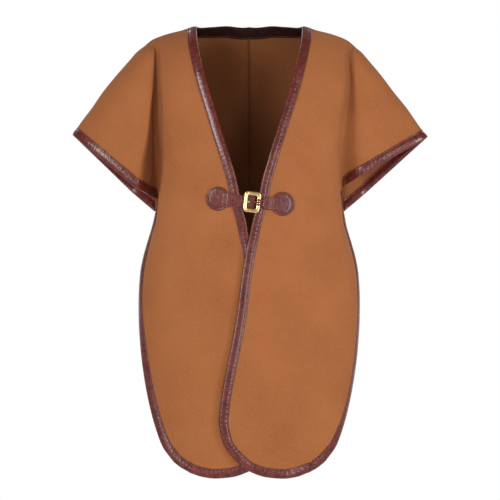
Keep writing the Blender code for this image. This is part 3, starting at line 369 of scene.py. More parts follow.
class Body:
    """Middle surface of the worn body of the cape, front or back half, over (turn, run).

    turn is the way round from the middle in degrees, 90 where the cloth turns to the side and 180
    in the valley or at the side edge. run is the length down from the shoulder seam.
    """

    def __init__(self, face, side):
        self.face = face
        self.side = side
        self.mirror = SIDE_SIGN[side]
        rows = SECTIONS.get((face, side)) or SECTIONS[(face, "both")]
        self.rows = {name: column(rows, SECTION_COLUMNS, name) for name in SECTION_COLUMNS}
        self.bend = FRONT_ROUND if face == "front" else BACK_ROUND

    def size(self, name, z):
        """A column of the section table at a height."""
        return through(self.rows["z"], self.rows[name], z)

    def section(self, turn, z):
        """Full-depth x and y: part of an oval to the turn, then a free curve to the side."""
        power = 2.0 / FULLNESS
        oval = np.radians(self.size("oval", z))
        middle = middle_depth(self.face, z)
        turn_x, turn_y = self.size("turn_x", z), self.size("turn_y", z)
        side_x, side_y = self.size("side_x", z), self.size("side_y", z)
        wide = turn_x / np.sin(oval) ** power
        deep = (turn_y - middle) / (1.0 - np.maximum(np.cos(oval), 0.0) ** power)
        angle = np.minimum(np.abs(turn) / 90.0, 1.0) * oval
        cosine = np.maximum(np.cos(angle), 0.0)
        front_x = wide * np.sin(angle) ** power
        front_y = middle + deep * (1.0 - cosine ** power)
        ahead_x = wide * np.sin(oval) ** (power - 1.0) * np.cos(oval)
        ahead_y = deep * np.maximum(np.cos(oval), LEAST_COSINE) ** (power - 1.0) * np.sin(oval)
        ahead = np.hypot(ahead_x, ahead_y)
        chord = np.hypot(side_x - turn_x, side_y - turn_y)
        sleeve = ease((z - SIDE_TURN) / SIDE_TURN_FADE)
        end_x = (1.0 - sleeve) * (side_x - turn_x) + sleeve * chord
        end_y = (1.0 - sleeve) * (side_y - turn_y)
        t = np.clip(np.abs(turn) / 90.0 - 1.0, 0.0, 1.0)
        near, far = (t ** 3 - 2 * t ** 2 + t), (t ** 3 - t ** 2)
        blend = 3 * t ** 2 - 2 * t ** 3
        past_x = blend * (side_x - turn_x) + chord * near * ahead_x / ahead + far * end_x
        past_y = blend * (side_y - turn_y) + chord * near * ahead_y / ahead + far * end_y
        return np.sign(turn) * (front_x + past_x), front_y + past_y

    def seam_height(self, turn):
        """Height of the shoulder seam over the place that a turn has in plan."""
        top = np.abs(self.section(turn, np.full(np.shape(turn), YOKE_HEIGHT))[0])
        height = column(SHOULDER, SHOULDER_COLUMNS, self.face)
        return through(column(SHOULDER, SHOULDER_COLUMNS, "x"), height, top)

    def lap(self, x, z):
        """The left front lies on the right one, so the two part by a small step at the middle."""
        if self.face == "back":
            return 0.0
        share = ease((LAP_ACROSS[0] - np.abs(x)) / LAP_ACROSS[1])
        share = share * ease((LAP_UPWARDS[0] - z) / LAP_UPWARDS[1])
        return -self.mirror * LAP_HALF * share

    def point(self, turn, run):
        """Place of (turn, run): down a quarter circle from the shoulder seam, then straight down."""
        turn = np.asarray(turn, dtype=float)
        run = np.asarray(run, dtype=float)
        angle = np.clip(run / self.bend, 0.0, math.pi / 2)
        drop = self.bend * (1.0 - np.cos(angle)) + np.maximum(run - self.bend * math.pi / 2, 0.0)
        z = self.seam_height(turn) - drop
        x, y = self.section(turn, z)
        return np.stack([self.mirror * x, y * np.sin(angle) + self.lap(x, z), z], axis=-1)

    def turn_at(self, x, z):
        """The turn at a distance from the middle, on the front or back of the oval."""
        steps = np.linspace(0.0, 180.0, TURN_STEPS)
        found = []
        for distance, height in zip(np.ravel(x), np.ravel(z)):
            reach = self.section(steps, np.full(len(steps), height))[0]
            rising = int(np.argmax(reach >= min(abs(distance), reach.max())))
            share = np.interp(abs(distance), reach[: rising + 1], steps[: rising + 1])
            found.append(math.copysign(share, distance) if distance else 0.0)
        return np.array(found).reshape(np.shape(x))

    def run_at(self, turn, z):
        """The run at a height: the quarter circle's arc, then the straight fall."""
        drop = np.maximum(self.seam_height(turn) - z, 0.0)
        near = self.bend * np.arccos(np.clip(1.0 - drop / self.bend, -1.0, 1.0))
        return np.where(drop < self.bend, near, self.bend * math.pi / 2 + drop - self.bend)

    def slopes(self, turn, run):
        """Change of the point for a small change of turn and of run."""
        by_turn = self.point(turn + SMALL_TURN, run) - self.point(turn - SMALL_TURN, run)
        by_turn = by_turn / (2.0 * SMALL_TURN)
        ahead = self.point(turn, run + SMALL_RUN)
        behind = self.point(turn, np.maximum(run - SMALL_RUN, 0.0))
        by_run = (ahead - behind) / (SMALL_RUN + np.minimum(run, SMALL_RUN))[..., None]
        return by_turn, by_run

    def moved(self, turn, run, target):
        """Nearest place on the surface to target, found from (turn, run) in a few steps."""
        for _ in range(SEARCH_ROUNDS):
            by_turn, by_run = self.slopes(turn, run)
            rest = target - self.point(turn, run)
            aa = (by_turn * by_turn).sum(-1)
            ab = (by_turn * by_run).sum(-1)
            bb = (by_run * by_run).sum(-1)
            ra = (rest * by_turn).sum(-1)
            rb = (rest * by_run).sum(-1)
            scale = aa * bb - ab * ab
            turn = np.clip(turn + (ra * bb - rb * ab) / scale, *TURN_LIMITS)
            run = np.maximum(run + (rb * aa - ra * ab) / scale, 0.0)
        return turn, run

    def inset(self, line, width, inward):
        """Edge stations moved into the cloth by width, square to the edge."""
        turn, run = line[:, 0], line[:, 1]
        inner_turn = np.clip(turn, TURN_LIMITS[0], TURN_LIMITS[1] - 0.5)
        here = self.point(turn, run)
        course = np.gradient(here, axis=0)
        course /= np.linalg.norm(course, axis=1)[:, None]
        by_turn, by_run = self.slopes(inner_turn, run)
        normal = np.cross(by_turn, by_run)
        normal /= np.linalg.norm(normal, axis=1)[:, None]
        into = np.cross(normal, course)
        into *= np.sign((into * (self.point(*inward) - here)).sum(-1))[:, None]
        return np.stack(self.moved(inner_turn, run, here + width * into), axis=1)


def length_along(points):
    """Length along a line of points at each of them, from 0."""
    steps = np.linalg.norm(np.diff(points, axis=0), axis=1)
    return np.concatenate([[0.0], np.cumsum(steps)])


def resample(line, space, count, density=None):
    """count + 1 stations along a fine line, at even steps or closer where density is larger."""
    length = length_along(space)
    weight = np.ones(len(space)) if density is None else density
    total = np.concatenate([[0.0], np.cumsum(np.diff(length) * 0.5 * (weight[1:] + weight[:-1]))])
    at = np.linspace(0.0, total[-1], count + 1)
    return np.stack([np.interp(at, total, line[:, k]) for k in range(line.shape[1])], axis=1)


def coons(top, bottom, left, right):
    """Fill a grid from its four borders; rows run from top to bottom, columns from left to right."""
    rows, cols = len(left), len(top)
    v = np.linspace(0.0, 1.0, rows)[:, None, None]
    u = np.linspace(0.0, 1.0, cols)[None, :, None]
    edges = (1 - v) * top[None] + v * bottom[None] + (1 - u) * left[:, None] + u * right[:, None]
    upper = (1 - v) * ((1 - u) * top[0] + u * top[-1])
    lower = v * ((1 - u) * bottom[0] + u * bottom[-1])
    return edges - upper - lower


def hem_and_side(body):
    """Fine line of the bound edge in (turn, run): front edge or middle back, hem, side edge."""
    table = FRONT_EDGE if body.face == "front" else BACK_HEM
    x = column(table, EDGE_COLUMNS, "x")
    z = column(table, EDGE_COLUMNS, "z")
    turn = body.turn_at(x, z)
    rows = np.stack([turn, z], axis=1)
    if body.face == "front":
        neck_turn = body.turn_at(np.array([NECK_POINT_X]), np.array([YOKE_HEIGHT]))
        rows = np.concatenate([np.stack([neck_turn, body.seam_height(neck_turn)], axis=1), rows])
    end = VALLEY_END[(body.face, body.side)]
    heights = body.rows["z"]
    heights = heights[(heights >= SIDE_EDGE_FOOT) & (heights < end - VALLEY_GAP)]
    heights = np.concatenate([heights, [end]])
    side = np.full(len(heights), 180.0)
    rows = np.concatenate([rows, np.stack([side, heights], axis=1)])
    knots = length_along(body.point(rows[:, 0], body.run_at(rows[:, 0], rows[:, 1])))
    at = np.interp(np.arange((len(rows) - 1) * FINE + 1) / FINE, np.arange(len(rows)), knots)
    turn, z = (through(knots, rows[:, k], at) for k in (0, 1))
    return np.stack([turn, body.run_at(turn, z)], axis=1)


def sleeve_lines(body):
    """Valley, standing fold and arm seam of one sleeve half, each as a function of share."""
    key = (body.face, body.side)
    fold = SLEEVE_FOLD[key]
    share = column(fold, FOLD_COLUMNS, "share")
    arm = np.stack([column(ARM_SEAM[body.side], ARM_COLUMNS, name) for name in ARM_COLUMNS], axis=1)
    arm_length = length_along(arm)
    top = float(body.seam_height(np.array(180.0)))

    def valley(t):
        """Down the middle of the valley, on the body's surface."""
        z = top + (VALLEY_END[key] - top) * t
        turn = np.full(np.shape(t), 180.0)
        return body.point(turn, body.run_at(turn, z))

    def standing(t):
        """Down the fold that stands beside the valley, from its table."""
        x, y, z = (through(share, column(fold, FOLD_COLUMNS, name), t) for name in ("x", "y", "z"))
        return np.stack([body.mirror * x, y, z], axis=-1)

    def seam(t):
        """Down the upper-arm seam, at the middle of the depth."""
        at = t * arm_length[-1]
        x = through(arm_length, arm[:, 0], at)
        z = through(arm_length, arm[:, 1], at)
        return np.stack([body.mirror * x, np.zeros(np.shape(x)), z], axis=-1)

    return valley, standing, seam


def quads_of(rows, cols, start=0, flip=False, wrap=False):
    """Four-sided faces of a grid of rows and cols, counted from start."""
    index = start + np.arange(rows * cols).reshape(rows, cols)
    if wrap:
        index = np.concatenate([index, index[:, :1]], axis=1)
    corners = [index[:-1, :-1], index[1:, :-1], index[1:, 1:], index[:-1, 1:]]
    quads = np.stack(corners, axis=-1).reshape(-1, 4)
    return quads[:, ::-1] if flip else quads


def joined(grids, flip):
    """Points and faces of several grids as one list."""
    points, faces, start = [], [], 0
    for grid in grids:
        rows, cols = grid.shape[:2]
        points.append(grid.reshape(-1, 3))
        faces.append(quads_of(rows, cols, start, flip))
        start += rows * cols
    return np.concatenate(points), np.concatenate(faces)


# Rows and columns of the grids, and the short step that measures the cuff's slant.
BODY_ROWS = 136
BODY_COLUMNS = 60
VALLEY_ROWS = 60
NECK_COLUMNS = 24
CUFF_COLUMNS = (14, 26)
CUFF_STEP = 0.02


def sleeve_surface(body):
    """Sleeve layer: valley(t) to fold(t) by a half cosine in depth, fold(t) to seam(t) by an oval."""
    valley, standing, seam_line = sleeve_lines(body)
    rise = np.linspace(0.0, 1.0, CUFF_COLUMNS[0] + 1)
    over = np.linspace(0.0, math.pi / 2, CUFF_COLUMNS[1] + 1)[1:]
    power = 2.0 / SLEEVE_FULLNESS

    def line(t):
        """One row of the sleeve at a share t of the way down."""
        a, b, c = valley(t), standing(t), seam_line(t)
        first = a[..., None, :] + (b - a)[..., None, :] * rise[:, None]
        first[..., 1] = a[..., None, 1] + (b - a)[..., None, 1] * (1.0 - np.cos(math.pi * rise)) / 2
        second = b[..., None, :] + (c - b)[..., None, :] * (np.sin(over) ** power)[:, None]
        falling = np.maximum(np.cos(over), 0.0) ** power
        second[..., 1] = c[..., None, 1] + (b - c)[..., None, 1] * falling
        return np.concatenate([first, second], axis=-2)

    before, hem = line(np.array([1.0 - CUFF_STEP, 1.0]))
    course = np.gradient(hem, axis=0)
    course /= np.linalg.norm(course, axis=1)[:, None]
    wide = np.linalg.norm(np.cross((hem - before) / CUFF_STEP, course), axis=1)
    inset = 1.0 - EDGE_BAND / wide
    shares = np.linspace(0.0, 1.0, VALLEY_ROWS + 1)
    stack = line(shares[:, None] * inset[None, :])
    return stack[:, np.arange(len(hem)), np.arange(len(hem))], hem


# Where the edge line turns the hem's two round corners, as (distance from the middle, height), and
# places inside the half towards which its band is set in: a turn at four marks round the edge.
HEM_CORNER = (156.0, 43.0)
FRONT_CORNER = (-34.0, 45.0)
INWARD_TURNS = (75.0, 40.0, 60.0, 70.0)
INWARD_TURN, INWARD_HEIGHT = 40.0, 160.0
NECK_INWARD = (60.0, 200.0)

# Stations are closer together where an edge turns or a fold stands: how many more there are, the
# height past which they are, and the height over which they come in, downwards if less than 0.
CROWDED_SIDE = (0.8, 170.0, -90.0)
CROWDED_NECK = (1.2, 780.0, 60.0)
CROWDED_FRONT = (1.0, 190.0, -90.0)
CROWDED_BACK = (0.8, 560.0, 60.0)

# Points of the lines taken before resampling, lines across the bands, and the rounds that even out
# the grid inside.
MIDDLE_POINTS = 1600
SEAM_POINTS = 1200
BAND_LINES = 4
NECK_LINES = 5
RELAX_ROUNDS = 60


def neck_lines(body):
    """Back neck edge, an oval in plan cut out of the yoke, and its stations one band further in."""
    plan = np.linspace(0.0, math.pi / 2, NECK_COLUMNS + 1)
    x, y = NECK_POINT_X * np.sin(plan), NECK_DEPTH * np.cos(plan)
    height = np.full(len(plan), YOKE_HEIGHT)
    turn = body.turn_at(x, height)
    depth = body.section(turn, height)[1]
    line = np.stack([turn, body.bend * np.arcsin(np.clip(y / depth, 0.0, 1.0))], axis=1)
    inner = body.inset(line, NECK_BAND, [np.full(len(plan), value) for value in NECK_INWARD])
    inner[0, 0] = 0.0
    inner[-1, 1] = 0.0
    return line, inner


def crowded(z, more, start, fade):
    """Density of stations at a height: 1, and more where z passes start, eased over fade."""
    return 1.0 + more * ease((z - start) / fade)


def cloth_grids(face, side):
    """Grids of one half: body, sleeve layer and the bound strips, with their edge stations.

    The body's grid is a Coons patch over (turn, run), each inner place then put at the mean of its
    four neighbours in turn.
    """
    body = Body(face, side)
    picked, cuff = sleeve_surface(body)
    top_z = picked[:, 0, 2]
    at_side = np.full(len(top_z), 180.0)
    valley = np.stack([at_side, body.run_at(at_side, top_z)], axis=1)
    valley_end = np.array([[180.0, float(body.run_at(np.array(180.0), cuff[0, 2]))]])
    valley = np.concatenate([valley, valley_end])
    low_rows = BODY_ROWS - VALLEY_ROWS - 1

    fine = hem_and_side(body)
    space = body.point(fine[:, 0], fine[:, 1])
    z = space[:, 2]
    distance = np.abs(space[:, 0]) * np.sign(space[:, 0] * body.mirror)
    foot = int(np.argmin(np.hypot(distance - HEM_CORNER[0], z - HEM_CORNER[1])))
    side_part = resample(fine[foot:], space[foot:], low_rows, crowded(z[foot:], *CROWDED_SIDE))
    if face == "front":
        toe = int(np.argmin(np.hypot(distance - FRONT_CORNER[0], z - FRONT_CORNER[1])))
        level = int(np.argmin(np.abs(z[:toe] - cuff[0, 2])))
        high, low, round_hem = slice(0, level + 1), slice(level, toe + 1), slice(toe, foot + 1)
        upper = resample(fine[high], space[high], len(valley) - 1, crowded(z[high], *CROWDED_NECK))
        lower = resample(fine[low], space[low], low_rows, crowded(z[low], *CROWDED_FRONT))
        hem = resample(fine[round_hem], space[round_hem], BODY_COLUMNS)
        edge = np.concatenate([upper, lower[1:], hem[1:], side_part[1:]])
        start = BODY_ROWS
    else:
        hem = resample(fine[: foot + 1], space[: foot + 1], BODY_COLUMNS)
        edge = np.concatenate([hem, side_part[1:]])
        start = 0
    marks = [0, start, start + BODY_COLUMNS, len(edge)]
    aim_turn = np.interp(np.arange(len(edge)), marks, INWARD_TURNS)
    aim_run = np.minimum(edge[:, 1], body.run_at(np.array(INWARD_TURN), INWARD_HEIGHT))
    ring = body.inset(edge, EDGE_BAND, (aim_turn, aim_run))
    ring[-1] = valley[-1]
    right = np.concatenate([valley, ring[start + BODY_COLUMNS :][::-1][1:]])
    bottom = ring[start : start + BODY_COLUMNS + 1]

    grids = []
    half = {}
    if face == "front":
        ring[0, 1] = 0.0
        left = ring[: BODY_ROWS + 1]
        seam_start, rest, ahead = left[0, 0], BODY_COLUMNS, np.zeros((0, 2))
    else:
        ring[0, 0] = 0.0
        neck_edge, neck_inner = neck_lines(body)
        down = np.linspace(0.0, 1.0, MIDDLE_POINTS)[:, None]
        middle = neck_inner[0] + (ring[0] - neck_inner[0]) * down
        middle_space = body.point(middle[:, 0], middle[:, 1])
        left = resample(middle, middle_space, BODY_ROWS, crowded(middle_space[:, 2], *CROWDED_BACK))
        seam_start, rest, ahead = neck_inner[-1, 0], BODY_COLUMNS - NECK_COLUMNS, neck_inner[:-1]
        neck_line = body.point(neck_edge[:, 0], neck_edge[:, 1])
        neck_ring = body.point(neck_inner[:, 0], neck_inner[:, 1])
        half["neck"] = (neck_line, neck_ring)
        share = np.linspace(0.0, 1.0, NECK_LINES)[:, None, None]
        grids.append(neck_line + (neck_ring - neck_line) * share)
    turns = np.stack([np.linspace(seam_start, 180.0, SEAM_POINTS), np.zeros(SEAM_POINTS)], axis=1)
    top = np.concatenate([ahead, resample(turns, body.point(turns[:, 0], turns[:, 1]), rest)])
    inside = coons(top, bottom, left, right)
    for _ in range(RELAX_ROUNDS):
        beside = inside[2:, 1:-1] + inside[:-2, 1:-1] + inside[1:-1, 2:] + inside[1:-1, :-2]
        inside[1:-1, 1:-1] = beside / 4.0

    surface = body.point(inside[..., 0], inside[..., 1])
    sleeve = np.concatenate([picked, cuff[None]], axis=0)
    surface[: len(sleeve), -1] = sleeve[:, 0]
    edge_line = body.point(edge[:, 0], edge[:, 1])
    ring_line = body.point(ring[:, 0], ring[:, 1])
    edge_line[-1] = ring_line[-1] = cuff[0]
    share = np.linspace(0.0, 1.0, BAND_LINES)[None, :, None]
    grids += [surface, sleeve, edge_line[:, None] + (ring_line - edge_line)[:, None] * share]
    half.update(edge=(edge_line[:-1], ring_line[:-1]), cuff=(cuff[1:], picked[-1, 1:]), grids=grids)
    return half


# Soft creases: each is a line from (x0, z0) to (x1, z1) on one half, with its half width and its
# height outwards. The line sways a little and fades in and out over shares of its length.
CREASE_SWAY, CREASE_SWING = 5.0, 5.0
CREASE_FADE_IN = 0.35
CREASE_FADE_OUT = 0.4
CREASE_COLUMNS = ("face", "side", "x0", "z0", "x1", "z1", "width", "depth")
CREASES = (
    ("front", "right", 150.0, 560.0, 128.0, 300.0, 26.0, -1.9),
    ("front", "right", 92.0, 470.0, 104.0, 210.0, 30.0, 1.6),
    ("front", "right", 120.0, 840.0, 96.0, 610.0, 24.0, -1.4),
    ("front", "right", 168.0, 770.0, 140.0, 560.0, 16.0, 1.8),
    ("front", "right", 40.0, 250.0, 66.0, 70.0, 26.0, -1.3),
    ("front", "right", 250.0, 790.0, 262.0, 640.0, 15.0, -1.7),
    ("front", "right", 292.0, 735.0, 300.0, 655.0, 12.0, 1.2),
    ("front", "left", 146.0, 590.0, 122.0, 330.0, 28.0, -1.8),
    ("front", "left", 78.0, 440.0, 60.0, 190.0, 30.0, 1.6),
    ("front", "left", 118.0, 850.0, 104.0, 640.0, 22.0, -1.5),
    ("front", "left", 150.0, 300.0, 120.0, 110.0, 24.0, 1.3),
    ("front", "left", 244.0, 800.0, 258.0, 650.0, 15.0, -1.6),
    ("front", "left", 286.0, 740.0, 304.0, 660.0, 12.0, 1.3),
    ("back", "right", 56.0, 600.0, 74.0, 200.0, 30.0, 3.8),
    ("back", "right", 128.0, 640.0, 108.0, 280.0, 26.0, -3.6),
    ("back", "right", 84.0, 870.0, 106.0, 600.0, 25.0, -2.9),
    ("back", "right", 152.0, 360.0, 124.0, 90.0, 22.0, 2.6),
    ("back", "right", 30.0, 330.0, 22.0, 60.0, 18.0, -1.8),
    ("back", "right", 252.0, 780.0, 268.0, 640.0, 16.0, -2.6),
    ("back", "left", 70.0, 560.0, 54.0, 170.0, 32.0, 3.5),
    ("back", "left", 116.0, 660.0, 130.0, 330.0, 24.0, -3.4),
    ("back", "left", 98.0, 880.0, 88.0, 620.0, 24.0, -2.7),
    ("back", "left", 140.0, 320.0, 118.0, 70.0, 22.0, 2.8),
    ("back", "left", 24.0, 270.0, 34.0, 50.0, 17.0, -1.6),
    ("back", "left", 258.0, 770.0, 264.0, 650.0, 16.0, -2.4),
)


def crease_height(x, z, face, side):
    """Sum of soft ridges: depth times a bell across each line, fading in and out along it."""
    total = np.zeros(len(x))
    for row in CREASES:
        crease = dict(zip(CREASE_COLUMNS, row))
        if (crease["face"], crease["side"]) != (face, side):
            continue
        run = np.array([crease["x1"] - crease["x0"], crease["z1"] - crease["z0"]])
        length = np.hypot(*run)
        run /= length
        dx, dz = np.abs(x) - crease["x0"], z - crease["z0"]
        share = (dx * run[0] + dz * run[1]) / length
        off = dx * run[1] - dz * run[0] + CREASE_SWAY * np.sin(share * CREASE_SWING)
        fade = ease(share / CREASE_FADE_IN) * ease((1.0 - share) / CREASE_FADE_OUT)
        total += crease["depth"] * fade * np.exp(-(off / crease["width"]) ** 2)
    return total


def placed(tree, kind, inputs=None, **settings):
    """New node with its settings; each input gets a number, a colour or another node's output."""
    node = tree.nodes.new(kind)
    for key, value in settings.items():
        setattr(node, key, value)
    for key, value in (inputs or {}).items():
        socket = node.inputs[key]
        if isinstance(value, bpy.types.NodeSocket):
            tree.links.new(value, socket)
        elif socket.type == "RGBA":
            socket.default_value = (*value, 1.0)
        else:
            socket.default_value = value
    return node


def maths(tree, operation, first, second=0.0):
    """One sum on two values."""
    node = placed(tree, "ShaderNodeMath", {0: first, 1: second}, operation=operation)
    return node.outputs["Value"]


def levels(tree, value, low, high, least, most, kind="LINEAR"):
    """Value taken from low..high to least..most, and held at those ends."""
    inputs = {"Value": value, "From Min": low, "From Max": high, "To Min": least, "To Max": most}
    return placed(tree, "ShaderNodeMapRange", inputs, interpolation_type=kind).outputs["Result"]


def mix(tree, share, first, second):
    """Colour first, with a share of colour second laid over it."""
    inputs = {"Factor": share, "A": first, "B": second}
    return placed(tree, "ShaderNodeMix", inputs, data_type="RGBA").outputs["Result"]


def bump(tree, height, strength, distance, normal=None):
    """Normal of a surface raised by height, over another normal where one is given."""
    inputs = {"Height": height, "Strength": strength, "Distance": distance}
    if normal is not None:
        inputs["Normal"] = normal
    return placed(tree, "ShaderNodeBump", inputs).outputs["Normal"]


def finish(name, **constants):
    """New material whose shader has these constants on its own sockets."""
    material = bpy.data.materials.new(name)
    material.use_nodes = True
    tree = material.node_tree
    shader = tree.nodes["Principled BSDF"]
    for key, value in constants.items():
        socket = shader.inputs[key.replace("_", " ")]
        socket.default_value = (*value, 1.0) if socket.type == "RGBA" else value
    return material, tree, shader


# Speckle: the mottle that nap, leather, thread and brass all have, each with its own values.
# mask = (noise - Low) / (High - Low), held between 0 and 1; Colour goes from Dark to Light with it.
speckle_group = bpy.data.node_groups.new("speckle", "ShaderNodeTree")
for socket_name, socket_kind in (
    ("Place", "NodeSocketVector"),
    ("Stretch", "NodeSocketVector"),
    ("Scale", "NodeSocketFloat"),
    ("Detail", "NodeSocketFloat"),
    ("Harshness", "NodeSocketFloat"),
    ("Low", "NodeSocketFloat"),
    ("High", "NodeSocketFloat"),
    ("Dark", "NodeSocketColor"),
    ("Light", "NodeSocketColor"),
):
    speckle_group.interface.new_socket(socket_name, in_out="INPUT", socket_type=socket_kind)
for socket_name, socket_kind in (
    ("Colour", "NodeSocketColor"),
    ("Mask", "NodeSocketFloat"),
    ("Height", "NodeSocketFloat"),
):
    speckle_group.interface.new_socket(socket_name, in_out="OUTPUT", socket_type=socket_kind)
given = speckle_group.nodes.new("NodeGroupInput").outputs
stretched = placed(
    speckle_group,
    "ShaderNodeVectorMath",
    {0: given["Place"], 1: given["Stretch"]},
    operation="MULTIPLY",
).outputs["Vector"]
speck = placed(speckle_group, "ShaderNodeTexNoise", {
    "Vector": stretched,
    "Scale": given["Scale"],
    "Detail": given["Detail"],
    "Roughness": given["Harshness"],
}).outputs["Fac"]
mask = levels(speckle_group, speck, given["Low"], given["High"], 0.0, 1.0)
placed(speckle_group, "NodeGroupOutput", {
    "Colour": mix(speckle_group, mask, given["Dark"], given["Light"]),
    "Mask": mask,
    "Height": speck,
})


BLACK_WHITE = ((0.0, 0.0, 0.0), (1.0, 1.0, 1.0))


def speckle(tree, place, scale, detail, harshness=0.6, low=0.0, high=1.0,
            colours=BLACK_WHITE, stretch=(1.0, 1.0, 1.0)):
    """Place the speckle group in a material with its own values."""
    dark, light = colours
    return placed(tree, "ShaderNodeGroup", {
        "Place": place,
        "Stretch": stretch,
        "Scale": scale,
        "Detail": detail,
        "Harshness": harshness,
        "Low": low,
        "High": high,
        "Dark": dark,
        "Light": light,
    }, node_tree=speckle_group).outputs


# Colours of the coating: its nap from dark to light, the mottle and the clouds laid over it, the
# pressed seams, and the painted shade on the inside. The nap lies downwards, so its speckle is long that way.
NAP_DARK = (0.208, 0.064, 0.020)
NAP_LIGHT = (0.372, 0.132, 0.047)
NAP_STRETCH = (1.0, 1.0, 0.45)
MOTTLE_TAN = (0.264, 0.084, 0.026)
CLOUD_TAN = (0.375, 0.135, 0.048)
SEAM_BROWN = (0.05, 0.014, 0.006)
PAINTED_SHADE_BROWN = (0.040, 0.010, 0.0035)

# How much of the mottle, the clouds and the seams goes into the colour, and how far the nap and
# the mottle raise the bump's height and the seams lower it.
MOTTLE_SHARE, CLOUD_SHARE, SEAM_SHARE = 0.35, 0.55, 0.55
NAP_RISE, MOTTLE_RISE, SEAM_FALL = 0.7, 0.5, 1.5

# Half width of a pressed seam's dark line, where the back begins, where the arm seam ends, and from
# where to where the painted shade on the inside fades out, all in metres.
SEAM_HALF = 0.0009
BACK_FROM = 0.05
ARM_SEAM_FOOT = -0.215
SHADE_FROM, SHADE_TO = 0.165, 0.205


def make_wool(name, inner):
    """Tan wool: nap, mottle and wide clouds in the colour, darker at the pressed seams, nap in the bump.

    With inner set, painted shade darkens the inside towards the middle.
    """
    material, tree, shader = finish(
        name,
        Roughness=0.93,
        Specular_IOR_Level=0.12,
        Sheen_Weight=0.08,
        Sheen_Roughness=0.55,
        Sheen_Tint=(0.95, 0.62, 0.38),
    )
    place = placed(tree, "ShaderNodeTexCoord").outputs["Object"]
    x_axis, y_axis, z_axis = placed(tree, "ShaderNodeSeparateXYZ", {0: place}).outputs
    nap = speckle(tree, place, scale=900.0, detail=5.0, harshness=0.7, low=0.32, high=0.70,
                  colours=(NAP_DARK, NAP_LIGHT), stretch=NAP_STRETCH)
    mottle = speckle(tree, place, scale=110.0, detail=4.0, harshness=0.65, low=0.35, high=0.68)
    cloud = speckle(tree, place, scale=9.0, detail=3.0, harshness=0.5, low=0.30, high=0.75)
    colour = mix(tree, maths(tree, "MULTIPLY", mottle["Mask"], MOTTLE_SHARE), nap["Colour"], MOTTLE_TAN)
    colour = mix(tree, maths(tree, "MULTIPLY", cloud["Mask"], CLOUD_SHARE), colour, CLOUD_TAN)

    aside = maths(tree, "ABSOLUTE", x_axis)
    middle = maths(tree, "LESS_THAN", aside, SEAM_HALF)
    behind = maths(tree, "GREATER_THAN", y_axis, BACK_FROM)
    shoulder = maths(tree, "LESS_THAN", maths(tree, "ABSOLUTE", y_axis), SEAM_HALF)
    above = maths(tree, "GREATER_THAN", z_axis, ARM_SEAM_FOOT)
    back_seam = maths(tree, "MULTIPLY", middle, behind)
    seam = maths(tree, "MAXIMUM", back_seam, maths(tree, "MULTIPLY", shoulder, above))
    colour = mix(tree, maths(tree, "MULTIPLY", seam, SEAM_SHARE), colour, SEAM_BROWN)
    if inner:
        # Painted shade: the inside face darkens towards the middle of the body.
        deep = levels(tree, aside, SHADE_FROM, SHADE_TO, least=0.45, most=0.0, kind="SMOOTHSTEP")
        colour = mix(tree, deep, colour, PAINTED_SHADE_BROWN)
    tree.links.new(colour, shader.inputs["Base Color"])

    height = maths(tree, "MULTIPLY", nap["Height"], NAP_RISE)
    height = maths(tree, "ADD", height, maths(tree, "MULTIPLY", mottle["Height"], MOTTLE_RISE))
    height = maths(tree, "SUBTRACT", height, maths(tree, "MULTIPLY", seam, SEAM_FALL))
    napped = bump(tree, height, strength=0.6, distance=0.0009)
    tree.links.new(napped, shader.inputs["Normal"])
    return material


def new_piece(name, points, faces, material, merge=0.0, outward=True, smooth=True, marks=None):
    """Mesh object from points in millimetres, which rides on the part and takes a finish slot.

    Points closer than merge metres become one, points of no face go, and outward turns the faces
    out. marks are lengths at the points, in metres, that the material reads.
    """
    mesh = bpy.data.meshes.new(name)
    held = np.array([0.0, 0.0, HELD_HEIGHT])
    mesh.from_pydata(((points - held) * MM).tolist(), [], faces)
    for key, values in (marks or {}).items():
        mark = mesh.attributes.new(key, "FLOAT", "POINT")
        mark.data.foreach_set("value", np.asarray(values, dtype=np.float32))
    shape = bmesh.new()
    shape.from_mesh(mesh)
    if merge > 0.0:
        bmesh.ops.remove_doubles(shape, verts=shape.verts, dist=merge)
    if outward:
        bmesh.ops.recalc_face_normals(shape, faces=shape.faces)
    bmesh.ops.delete(shape, geom=[v for v in shape.verts if not v.link_faces], context="VERTS")
    shape.to_mesh(mesh)
    shape.free()
    mesh.polygons.foreach_set("use_smooth", np.full(len(mesh.polygons), smooth))
    mesh.materials.append(material)
    item = bpy.data.objects.new(name, mesh)
    scene.collection.objects.link(item)
    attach(item, "root")
    return item


wool = make_wool("wool_coating", False)
# Wool for the inside face, with painted shade towards the middle.
shaded_inside_wool = make_wool("inside_wool_painted_shade", True)
halves = {}
for face, side in SLEEVE_FOLD:
    name = face + "_" + side
    half = cloth_grids(face, side)
    halves[(face, side)] = half
    points, quads = joined(half["grids"], (side == "left") == (face == "back"))
    piece = new_piece("wool_" + name, points, quads.tolist(), wool, merge=2e-5, outward=False)
    mesh = piece.data
    spot, normal = np.empty(len(mesh.vertices) * 3), np.empty(len(mesh.vertices) * 3)
    mesh.vertices.foreach_get("co", spot)
    mesh.vertices.foreach_get("normal", normal)
    spot, normal = spot.reshape(-1, 3), normal.reshape(-1, 3)
    outward = -1.0 if face == "front" else 1.0
    normal *= np.sign((normal[:, 1] * outward).sum())
    raised = crease_height(spot[:, 0] / MM, spot[:, 2] / MM + HELD_HEIGHT, face, side)
    spot += normal * raised[:, None] * MM
    mesh.vertices.foreach_set("co", spot.ravel())
    mesh.update()
    shell = piece.modifiers.new("cloth thickness", "SOLIDIFY")
    shell.thickness = CLOTH * MM
    shell.offset = 0.0
    # The shell's inside face takes the wool with painted shade.
    mesh.materials.append(shaded_inside_wool)
    shell.material_offset = 1
    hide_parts(name)


# Bindings. Strips of glazed oxblood leather folded over every edge and sewn down through the cloth,
# with a full round fold, a sewn groove near the cloth side and small puckers across. Each is a
# closed profile swept along the edge that it binds.

